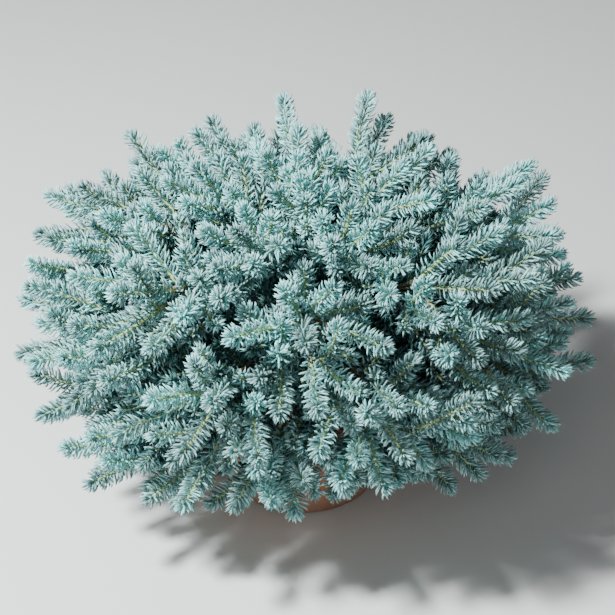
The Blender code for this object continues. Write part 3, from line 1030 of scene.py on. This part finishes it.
def tints_of(shoots, rows):
    """Tint of each needle. Each shoot is dealt one with a seeded chance, and it is paler where it
    faces up, which is a painted highlight. Its needles stray from it by one now and then. Shoots
    of the second layer are a tint darker, which is painted shade, and older growth and the deeper
    layers have the inner tint: the older needles' own darker colour, with painted shade on it."""
    chance = seeded(TINT)
    up = unit(shoots.paths[:, 3] - CROWN_CENTRE)[:, 2]
    # A seeded stray in tone, plus a paler tint where the shoot faces up, which is painted highlight
    pale_and_lit = chance.normal(0, TINT_STRAY, len(up)) + PAINTED_TOP_LIGHT * up
    # Shoots of the second layer are dealt one tint darker: painted shade
    dealt = np.digitize(-pale_and_lit, TINT_STEPS) + (shoots.order == SECOND_LAYER)
    order = shoots.order[rows.shoot]
    tint = dealt[rows.shoot] + np.digitize(chance.random(len(order)), NEEDLE_STRAY) - 1
    # Older growth and the third and fourth layers take the inner tint: the older needles' own colour
    # with painted shade on it
    deepest = np.where(order == SECOND_LAYER, INNER_SHADE_TINT, INNER_SHADE_TINT - 1)
    return np.where(rows.old | (order > SECOND_LAYER), INNER_SHADE_TINT, np.clip(tint, 0, deepest))


class SPRUCE_OT_needles(bpy.types.Operator):
    """Grow the needles, one piece for each tint in each tier"""

    bl_idname = "spruce.needles"
    bl_label = "Needles"

    def execute(self, context):
        look, shoots = context.scene.spruce_needles, shoots_for(context.scene)
        rows = needle_rows(shoots, look.spacing)
        parts = needle_parts(shoots, rows, look)
        roots, first, second, _, length, _ = parts
        room = with_room(shoots, rows, roots + (first + second) * (length / 2)[:, None])
        tint, tier = tints_of(shoots, rows), TIER_OF_MASS[shoots.mass[rows.shoot]]
        deeper = shoots.order[rows.shoot] == SECOND_LAYER
        for place, name in enumerate(TINTS):
            finish = needle_finish(f"needle_{name}", getattr(look, name))
            for level, band in enumerate(TIERS):
                chosen = room & (tint == place) & (tier == level)
                if place == INNER_SHADE_TINT:
                    made = spikes(*(part[chosen] for part in parts))
                else:
                    made = joined(
                        blades(*(part[chosen & ~deeper] for part in parts)),
                        spindles(*(part[chosen & deeper] for part in parts)),
                    )
                title = f"needles_{band.name}_{name}"
                add_piece(title, made, finish, foliage_nodes(level))
        return {"FINISHED"}


# Twigs

# Rings and sides of each kind of twig. This year's growth starts a little thinner
YOUNG_FOOT = 0.92
OUTER_GRID = (6, 5)
INNER_GRID = (4, 3)
OLD_GRID = (16, 7)


def twig_surface(shoots, chosen, start, end, radius_foot, radius_tip, rings, sides):
    """Swept limbs along a stretch of the chosen shoots, with a straight taper."""
    v = np.linspace(0, 1, rings)
    t = start[chosen][:, None] * (1 - v) + end[chosen][:, None] * v
    paths = np.broadcast_to(shoots.paths[chosen][:, None], (*t.shape, 4, 3))
    radii = radius_foot[chosen][:, None] * (1 - v) + radius_tip[chosen][:, None] * v
    return swept(curve(paths, t), slope(paths, t), radii, sides)


class SPRUCE_OT_twigs(bpy.types.Operator):
    """Sweep the twigs, this year's and the older ones apart"""

    bl_idname = "spruce.twigs"
    bl_label = "Twigs"

    def execute(self, context):
        look, shoots = context.scene.spruce_shoots, shoots_for(context.scene)
        young = twig_finish("young_twig", look.young)
        old = twig_finish("old_twig", look.old)
        whole = np.ones_like(shoots.fresh)
        joint = shoots.radius + (look.tip_radius - shoots.radius) * shoots.fresh
        this_year = (shoots.fresh, whole, joint * YOUNG_FOOT, whole * look.tip_radius)
        earlier = (0 * whole, shoots.fresh, shoots.radius, joint)
        deeper = shoots.order >= SECOND_LAYER
        for level, band in enumerate(TIERS):
            here = TIER_OF_MASS[shoots.mass] == level
            made = joined(
                twig_surface(shoots, here & ~deeper, *this_year, *OUTER_GRID),
                twig_surface(shoots, here & deeper, *this_year, *INNER_GRID),
            )
            nodes = foliage_nodes(level)
            add_piece(f"twigs_{band.name}_young", made, young, nodes, smooth=True)
            made = twig_surface(shoots, here & (shoots.order == 0), *earlier, *OLD_GRID)
            add_piece(f"twigs_{band.name}_old", made, old, nodes, smooth=True)
        return {"FINISHED"}


# Buds and bud scales

BUD_LENGTH = 0.0032
BUD_RADIUS = 0.0013
BUD_SIDES = 6

# Places along a bud, and shares of its radius there
BUD_PROFILE = ((-0.10, 0.55), (0.15, 0.95), (0.45, 1.0), (0.75, 0.62), (1.0, 0.12))
SCALES = 6
SCALE_LENGTH = 0.0042
SCALE_RANGE = (0.7, 1.2)
SCALE_WIDTH = 0.0022
SCALE_BELLY = 0.5
SCALE_LEANS = (0.45, 1.3)
SCALE_STRAY = 0.3
SCALE_SEAT = 0.5
SCALE_STEP = 0.02


def collars(shoots, chosen, look):
    """Scales in a ring just past the foot of this year's growth, leaning forward."""
    chance = seeded(COLLAR)
    foot = np.clip(shoots.fresh + SCALE_STEP, 0, 1 - SCALE_STEP)[chosen]
    paths = shoots.paths[chosen]
    centre, ahead = curve(paths, foot), slope(paths, foot)
    side, third = framed(ahead, paths[:, 3] - paths[:, 0])
    stray = chance.normal(0, SCALE_STRAY, (len(foot), SCALES))
    out = between(side[:, None], third[:, None], TURN * np.arange(SCALES) / SCALES + stray)
    forward = np.broadcast_to(ahead[:, None], out.shape)
    first, second = (unit(forward + out * lean).reshape(-1, 3) for lean in SCALE_LEANS)
    across = np.cross(forward, out).reshape(-1, 3)
    roots = (centre[:, None] + out * look.foot_radius * SCALE_SEAT).reshape(-1, 3)
    length = chance.uniform(*SCALE_RANGE, len(roots)) * SCALE_LENGTH
    width = np.full(len(roots), SCALE_WIDTH)
    return blades(roots, first, second, across, length, width, SCALE_BELLY)


class SPRUCE_OT_buds(bpy.types.Operator):
    """Set a bud on every outer tip and a collar of papery scales at every outer shoot's foot"""

    bl_idname = "spruce.buds"
    bl_label = "Buds and bud scales"

    def execute(self, context):
        look, shoots = context.scene.spruce_shoots, shoots_for(context.scene)
        bud, scale = twig_finish("bud", look.bud), twig_finish("bud_scale", look.scale)
        ahead = unit(shoots.paths[:, 3] - shoots.paths[:, 2])[:, None]
        place, girth = np.array(BUD_PROFILE).T
        centres = shoots.paths[:, 3][:, None] + ahead * (place * BUD_LENGTH)[:, None]
        radii = np.broadcast_to(girth * BUD_RADIUS, centres.shape[:2])
        ahead = np.broadcast_to(ahead, centres.shape)
        for level, band in enumerate(TIERS):
            chosen = (TIER_OF_MASS[shoots.mass] == level) & (shoots.order < SECOND_LAYER)
            nodes = foliage_nodes(level)
            made = swept(centres[chosen], ahead[chosen], radii[chosen], BUD_SIDES)
            add_piece(f"buds_{band.name}", made, bud, nodes, smooth=True)
            made = collars(shoots, chosen, look)
            add_piece(f"bud_scales_{band.name}", made, scale, nodes)
        return {"FINISHED"}


# Trunk and boughs

# The bark's plates are the high side of lattice noise, cut off at PLATE_LOW and made steeper by
# PLATE_SLOPE. BARK_MIDDLE is the share of the relief that lies inside the solid's own radius
BARK_CELL = 0.0045
BARK_STRETCH = 1.5
LEAST_AROUND = 5
LEAST_ALONG = 6
BARK_TWIST = 0.15
BARK_MIDDLE = 0.6
PLATE_LOW = 0.3
PLATE_SLOPE = 2.2
PLATE_SHARE = 0.75
TRUNK_RINGS = 90
TRUNK_SIDES = 40
ROOTS = 5
ROOT_SWELL = 0.16
ROOT_TURN = 0.7
ROOT_FADE = 1.4
BOUGH_RINGS = 30
BOUGH_ROOT_RINGS = 4
BOUGH_SIDES = 16
BOUGH_LENGTH = 0.1
BOUGH_RELIEF = 0.6
COLLAR_SWELL = 0.5
COLLAR_FADE = 0.05
SUNK = 0.004


def bark_relief(radii, length, sides, chance):
    """Share by which the bark stands out, from 0 to 1: plates about BARK_CELL wide and half as
    long again, twisted round the limb, with finer noise on them."""
    limbs, rings = radii.shape
    u, v = np.broadcast_arrays(np.arange(sides) / sides, np.linspace(0, 1, rings)[:, None])
    relief = []
    for limb in range(limbs):
        around = max(LEAST_AROUND, round(TURN * radii[limb].mean() / BARK_CELL))
        along = max(LEAST_ALONG, round(length / (BARK_STRETCH * BARK_CELL)))
        plates = lattice(u + BARK_TWIST * v, v, around, along, chance)
        fine = lattice(u, v, 2 * around + 1, 3 * along, chance)
        plates = np.clip(PLATE_SLOPE * (plates - PLATE_LOW), 0, 1)
        relief.append(plates * PLATE_SHARE + fine * (1 - PLATE_SHARE))
    return np.array(relief)


def trunk_surface(depth, chance):
    """The trunk, swept up its axis. Its radius is the solid's, times root swellings that go as
    cos(ROOTS a) and die away upwards, plus the bark's relief."""
    z = np.linspace(SOIL_TOP - SUNK, TRUNK_TOP, TRUNK_RINGS)
    centres = trunk_axis(z)[None]
    radii = trunk_radius(np.maximum(z, SOIL_TOP))[None]
    relief = bark_relief(radii, TRUNK_TOP - SOIL_TOP, TRUNK_SIDES, chance)
    turn = TURN * np.arange(TRUNK_SIDES) / TRUNK_SIDES
    fade = np.exp(-np.maximum(z - SOIL_TOP, 0) / (ROOT_FADE * ROOT_FLARE_HEIGHT))[:, None]
    lobes = 1 + ROOT_SWELL * np.cos(ROOTS * turn + ROOT_TURN) * fade
    shaped = radii[..., None] * lobes + depth * (relief - BARK_MIDDLE)
    return swept(centres, unit(np.gradient(centres, axis=1)), shaped, TRUNK_SIDES)


def bough_surface(depth, chance):
    """All boughs, each swept from a foot sunk in the trunk along the solid's own path, with a
    collar at its foot that dies away exponentially."""
    centres = []
    for mass in ON_BOUGHS:
        foot, path = bough_path(mass)
        sunk = foot - heading(MASSES[mass].azimuth, 0) * SUNK
        root = np.linspace(sunk, path[0], BOUGH_ROOT_RINGS + 1)[:-1]
        bend = curve(np.broadcast_to(path, (BOUGH_RINGS, 4, 3)), np.linspace(0, 1, BOUGH_RINGS))
        centres.append(np.concatenate([root, bend]))
    centres = np.array(centres)
    v = np.linspace(0, 1, centres.shape[1])
    radii = BOUGH_RADIUS + (BOUGH_TIP_RADIUS - BOUGH_RADIUS) * v
    relief = bark_relief(np.broadcast_to(radii, centres.shape[:2]), BOUGH_LENGTH, BOUGH_SIDES, chance)
    collar = 1 + COLLAR_SWELL * np.exp(-v / COLLAR_FADE)
    shaped = (radii * collar)[:, None] + BOUGH_RELIEF * depth * (relief - BARK_MIDDLE)
    return swept(centres, unit(np.gradient(centres, axis=1)), shaped, BOUGH_SIDES)


class SPRUCE_OT_trunk(bpy.types.Operator):
    """Sweep the trunk and the boughs, with the relief of their bark"""

    bl_idname = "spruce.trunk"
    bl_label = "Trunk and boughs"

    def execute(self, context):
        look, chance = context.scene.spruce_bark, seeded(BARK)
        finish = bark_finish("bark", look.colour)
        made = trunk_surface(look.relief, chance)
        add_piece("trunk_bark", made, finish, ["trunk"], smooth=True)
        made = bough_surface(look.relief, chance)
        nodes = [f"bough_{MASSES[mass].name}" for mass in ON_BOUGHS]
        add_piece("bough_bark", made, finish, nodes, smooth=True)
        return {"FINISHED"}


# Clay pot

# Rounds of the profile. AXIS_GAP is its least radius, and SKIN how far its band keeps inside the
# solid
AXIS_GAP = 0.001
FOOT_ROUND = 0.0032
STEP_ROUND = 0.0035
BAND_ROUND = 0.0040
LIP_ROUND = 0.0046
FLOOR_ROUND = 0.0040
SKIN = 0.0002

# Straight stretches between the rounds, and the rings that throwing left in the wall
WALL_START = 0.005
WALL_STOP = 0.004
WALL_POINTS = 46
BAND_START = 0.0060
BAND_STOP = 0.0058
BAND_LEAN = 0.0006
INNER_POINTS = 14
FLOOR_REACH = 0.006
FLOOR_POINTS = 10
RING_PITCH = 0.0075
POT_SIDES = 128
SHARP_EDGE = math.radians(50)
DRILL_SIDES = 32
DRILL_BELOW = 0.01


def pot_inner_radius(z):
    """Radius of the pot's inner wall: it widens evenly from the floor to the mouth."""
    rise = (z - POT_FLOOR) / (POT_HEIGHT - POT_FLOOR)
    foot, mouth = POT_FOOT_RADIUS - POT_WALL, POT_RIM_RADIUS - POT_BAND_STEP - POT_WALL
    return foot + (mouth - foot) * rise


def arc(x, z, radius, start, end, count):
    """Points of an arc in the profile's plane, from one angle to another in degrees."""
    a = np.radians(np.linspace(start, end, count))
    return np.stack([x + radius * np.cos(a), z + radius * np.sin(a)], axis=1)


def line(start, end, count):
    """Evenly spaced points of a straight line in the profile's plane."""
    return np.linspace(np.array(start), np.array(end), count)


def pot_profile(ring_depth):
    """Profile of the pot from its underside's centre, up the outer wall, over the lip and down
    inside. The wall carries throwing rings, a sine of the height that fades at both ends."""
    under = POT_HEIGHT - POT_BAND_HEIGHT
    body_top = pot_inner_radius(under) + POT_WALL
    lip_in, lip_z = pot_inner_radius(POT_HEIGHT) + LIP_ROUND, POT_HEIGHT - LIP_ROUND
    wall_z = np.linspace(WALL_START, under - WALL_STOP, WALL_POINTS)
    share = (wall_z - wall_z[0]) / (wall_z[-1] - wall_z[0])
    wall_r = POT_FOOT_RADIUS + (body_top - POT_FOOT_RADIUS) * wall_z / under
    rings = ring_depth * np.sin(wall_z * TURN / RING_PITCH) * np.sin(math.pi * share) ** 0.5
    band_r, floor_r = POT_RIM_RADIUS - SKIN, pot_inner_radius(POT_FLOOR)
    band = (band_r, under + BAND_START), (band_r - BAND_LEAN, POT_HEIGHT - BAND_STOP)
    inner_z = np.linspace(POT_HEIGHT - WALL_STOP, POT_FLOOR + FLOOR_REACH, INNER_POINTS)
    return np.concatenate(
        [
            line((AXIS_GAP, 0), (POT_FOOT_RADIUS - WALL_START, 0), FLOOR_POINTS),
            arc(POT_FOOT_RADIUS - FOOT_ROUND - GAP, FOOT_ROUND, FOOT_ROUND, -90, -10, 6),
            np.stack([wall_r - ring_depth + rings, wall_z], axis=1),
            arc(body_top + STEP_ROUND, under - STEP_ROUND, STEP_ROUND, 180, 90, 5),
            arc(band_r - BAND_ROUND, under + BAND_ROUND, BAND_ROUND, -90, 0, 6),
            line(*band, 5),
            arc(band_r - SKIN - LIP_ROUND, lip_z, LIP_ROUND, 15, 90, 7),
            arc(lip_in, lip_z, LIP_ROUND, 90, 175, 7),
            np.stack([pot_inner_radius(inner_z), inner_z], axis=1),
            arc(floor_r - FLOOR_ROUND, POT_FLOOR + FLOOR_ROUND, FLOOR_ROUND, 0, -90, 5),
            line((floor_r - FLOOR_REACH, POT_FLOOR), (AXIS_GAP, POT_FLOOR), FLOOR_POINTS),
        ]
    )


def apply_modifiers(piece):
    """Replaces a piece's mesh by its evaluated one."""
    bpy.context.view_layer.update()
    graph = bpy.context.evaluated_depsgraph_get()
    done = bpy.data.meshes.new_from_object(piece.evaluated_get(graph))
    piece.modifiers.clear()
    piece.data = done


class SPRUCE_OT_pot(bpy.types.Operator):
    """Turn the clay pot and drill its drain holes"""

    bl_idname = "spruce.pot"
    bl_label = "Clay pot"

    def execute(self, context):
        look = context.scene.spruce_pot
        finish = clay_finish("fired_clay", look.clay, look.bloom)
        made = turned(pot_profile(look.rings), POT_SIDES)
        pot = add_piece("clay_pot", made, finish, ["pot"])
        drills = [self.drill(n) for n in range(DRAIN_HOLES)]
        for n, drill in enumerate(drills):
            pot.modifiers.new(f"drain_{n}", "BOOLEAN").object = drill
        apply_modifiers(pot)
        for drill in drills:
            bpy.data.objects.remove(drill)
        pot.data.shade_smooth()
        pot.data.set_sharp_from_angle(angle=SHARP_EDGE)
        return {"FINISHED"}

    def drill(self, n):
        """Rod through the pot's floor, for one of its drain holes."""
        angle = TURN * (n + 0.5) / DRAIN_HOLES
        side = np.array([[DRAIN_RADIUS, -DRILL_BELOW], [DRAIN_RADIUS, 2 * POT_FLOOR]])
        corners, *faces = turned(side, DRILL_SIDES)
        corners[:, :2] += DRAIN_CIRCLE_RADIUS * np.array([math.cos(angle), math.sin(angle)])
        return placed(f"drill_{n}", mesh_of(f"drill_{n}", corners, *faces))


# Potting mix and bark crumbs

# The mix falls to the pot's wall past MIX_FLAT of its radius. MIX_CELLS are counts of its noise's
# cells and their shares
MIX_RINGS = 60
MIX_SIDES = 110
MIX_FLAT = 0.8
MIX_FALL = 0.004
MIX_RELIEF = 0.0035
MIX_CELLS = ((34, 0.6), (90, 0.4))
MIX_MARGIN = 1.1

# Crumbs. Their sizes, edges and heights are ranges of shares
CRUMBS = 240
CRUMB_SIDES = 6
CRUMB_LENGTH = 0.016
CRUMB_THICKNESS = 0.0042
CRUMB_SIZES = (0.5, 1.0)
CRUMB_EDGES = (0.75, 1.0)
CRUMB_HEIGHTS = (0.25, 1.0)
CRUMB_STRAY = 0.3
CRUMB_NARROW = 0.5
CRUMB_CLEAR = 0.027
CRUMB_SINK = 0.001
CRUMB_TIP = 0.22
CRUMB_TOP = 0.85


def mix_surface(wide, chance):
    """The filling of the pot, turned. Its top is roughened by lattice noise in x and y."""
    low = POT_FLOOR + GAP
    r = np.linspace(wide, AXIS_GAP, MIX_RINGS)
    fall = MIX_FALL * np.clip((r / wide - MIX_FLAT) / (1 - MIX_FLAT), 0, 1)
    base = [[AXIS_GAP, low], [pot_inner_radius(low) - GAP, low]]
    profile = np.concatenate([base, np.stack([r, SOIL_TOP - fall], axis=1)])
    corners, *faces = turned(profile, MIX_SIDES)
    x, y = corners[:, :2].T / (2 * MIX_MARGIN * wide) + 0.5
    crumbs = sum(share * lattice(x, y, cells, cells, chance) for cells, share in MIX_CELLS)
    inward = np.clip((wide - np.hypot(corners[:, 0], corners[:, 1])) / MIX_FALL, 0, 1)
    upper = corners[:, 2] > (low + SOIL_TOP) / 2
    corners[:, 2] -= np.where(upper, MIX_RELIEF * (1 - crumbs) * inward, 0)
    return corners, *faces


def bark_crumbs(wide, chance):
    """Flat crumbs strewn on the mix between the trunk's flare and the pot's wall. Each is a slab of
    uneven outline: its corners stand round its centre at a seeded length, twice as far one way as
    the other, and it is turned and tipped by seeded angles."""
    count, sides = CRUMBS, CRUMB_SIDES
    level = np.zeros(count)
    distance = np.sqrt(chance.uniform(CRUMB_CLEAR**2, (wide - CRUMB_LENGTH / 2) ** 2, count))
    centre = distance[:, None] * heading(chance.uniform(0, 360, count), level)
    centre[:, 2] = SOIL_TOP + chance.uniform(-CRUMB_SINK, CRUMB_SINK, count)
    stray = chance.uniform(-CRUMB_STRAY, CRUMB_STRAY, (count, sides))
    turn = TURN * (np.arange(sides) + stray) / sides
    size = chance.uniform(*CRUMB_SIZES, (count, 1)) * CRUMB_LENGTH / 2
    far = size * chance.uniform(*CRUMB_EDGES, (count, sides))
    half = chance.uniform(*CRUMB_HEIGHTS, (count, 1)) * CRUMB_THICKNESS / 2
    flat = np.stack([far * np.cos(turn), CRUMB_NARROW * far * np.sin(turn), 0 * far], axis=-1)
    up = np.array([0, 0, 1.0])
    thick = up * half[..., None]
    slab = np.concatenate([flat - thick, flat * CRUMB_TOP + thick], axis=1)
    normal = unit(up + chance.normal(0, CRUMB_TIP, (count, 3)) * (1, 1, 0))
    way = heading(chance.uniform(0, 360, count), level)
    way = unit(way - normal * dot(way, normal))
    corners = centre[:, None] + slab @ np.stack([way, np.cross(normal, way), normal], axis=1)
    ring = np.arange(sides)
    on = (ring + 1) % sides
    quads = np.stack([ring, on, on + sides, ring + sides], axis=1)
    return repeated(corners, quads, np.stack([ring[::-1], ring + sides]))


class SPRUCE_OT_mix(bpy.types.Operator):
    """Fill the pot with potting mix and strew bark crumbs on it"""

    bl_idname = "spruce.mix"
    bl_label = "Potting mix"

    def execute(self, context):
        look = context.scene.spruce_pot
        wide = pot_inner_radius(SOIL_TOP - MIX_FALL) - GAP
        nodes = ["potting_mix"]
        compost = compost_finish("potting_mix", look.mix)
        made = mix_surface(wide, seeded(COMPOST))
        add_piece("potting_mix_top", made, compost, nodes, smooth=True)
        bark = bark_finish("crumb_bark", look.crumb)
        made = bark_crumbs(wide, seeded(CRUMB))
        add_piece("bark_crumbs", made, bark, nodes)
        return {"FINISHED"}


# Stage

FLOOR_HALF = 6.0
VIEW_TARGET = (0.0066, -0.0104, 0.2508)
SKY_COLOUR = (0.95, 0.97, 1.0, 1.0)

# Soft lights. A light's power is a share of one of the settings
Lamp = namedtuple("Lamp", "name place size setting share colour")
LAMPS = (
    Lamp("key", (-1.46, -0.62, 2.28), 0.30, "key", 1.0, (0.94, 1.0, 1.0)),
    Lamp("front", (-0.6, -2.4, 1.9), 1.4, "fill", 1.0, (1.0, 1.0, 1.0)),
    Lamp("right", (2.2, -0.6, 1.4), 1.6, "fill", 0.15, (1.0, 1.0, 1.0)),
)


class SPRUCE_OT_stage(bpy.types.Operator):
    """Set the floor, the lights and the camera"""

    bl_idname = "spruce.stage"
    bl_label = "Stage"

    def execute(self, context):
        look = context.scene.spruce_stage
        self.floor(look)
        self.sky(context, look)
        for lamp in LAMPS:
            self.light(look, lamp)
        self.camera(context, look)
        return {"FINISHED"}

    def floor(self, look):
        """A plain square floor."""
        finish = Finish("floor", Base_Color=colour_of(look.floor), Roughness=0.9)
        corners = np.array([[-1, -1, 0], [1, -1, 0], [1, 1, 0], [-1, 1, 0]]) * FLOOR_HALF
        floor = placed("floor", mesh_of("floor", corners, np.array([[0, 1, 2, 3]])))
        floor.data.materials.append(finish.material)

    def sky(self, context, look):
        """A plain sky of even light."""
        world = bpy.data.worlds.new("studio")
        world.use_nodes = True
        sky = world.node_tree.nodes["Background"]
        sky.inputs["Color"].default_value = SKY_COLOUR
        sky.inputs["Strength"].default_value = look.sky
        context.scene.world = world

    def light(self, look, lamp):
        """A square soft light that faces the crown."""
        data = bpy.data.lights.new(lamp.name, "AREA")
        data.size, data.color = lamp.size, lamp.colour
        data.energy = getattr(look, lamp.setting) * lamp.share
        light = placed(lamp.name, data)
        light.location = lamp.place
        aim = Vector(CROWN_CENTRE) - light.location
        light.rotation_euler = aim.to_track_quat("-Z", "Y").to_euler()

    def camera(self, context, look):
        """The photograph's view: from the front, looking down on the crown."""
        data = bpy.data.cameras.new("photo_view")
        data.angle = look.view_angle
        camera = placed("photo_view", data)
        back = Vector((0, -math.cos(look.elevation), math.sin(look.elevation)))
        camera.location = Vector(VIEW_TARGET) + back * look.distance
        camera.rotation_euler = (-back).to_track_quat("-Z", "Y").to_euler()
        context.scene.camera = camera


# Add-on

OPERATORS = (
    SPRUCE_OT_stage,
    SPRUCE_OT_pot,
    SPRUCE_OT_mix,
    SPRUCE_OT_trunk,
    SPRUCE_OT_twigs,
    SPRUCE_OT_buds,
    SPRUCE_OT_needles,
)


class SPRUCE_PT_sidebar(bpy.types.Panel):
    """Lists the pieces of the plant and their settings"""

    bl_idname = "SPRUCE_PT_sidebar"
    bl_label = "Potted blue spruce"
    bl_space_type = "VIEW_3D"
    bl_region_type = "UI"
    bl_category = "Spruce"

    def draw(self, context):
        for operator in OPERATORS:
            self.layout.operator(operator.bl_idname)
        for name in SETTINGS:
            box = self.layout.box()
            group = getattr(context.scene, name)
            for key in group.bl_rna.properties.keys():
                if key not in ("rna_type", "name"):
                    box.prop(group, key)


CLASSES = (*SETTINGS.values(), *OPERATORS, SPRUCE_PT_sidebar)


def register():
    for cls in CLASSES:
        bpy.utils.register_class(cls)
    for name, group in SETTINGS.items():
        setattr(bpy.types.Scene, name, bpy.props.PointerProperty(type=group))


def unregister():
    for name in SETTINGS:
        delattr(bpy.types.Scene, name)
    for cls in reversed(CLASSES):
        bpy.utils.unregister_class(cls)


def main():
    register()
    for old in list(bpy.data.objects):
        if old.type in {"CAMERA", "LIGHT"}:
            bpy.data.objects.remove(old)
    for operator in OPERATORS:
        group, name = operator.bl_idname.split(".")
        getattr(getattr(bpy.ops, group), name)()


if __name__ == "__main__":
    main()
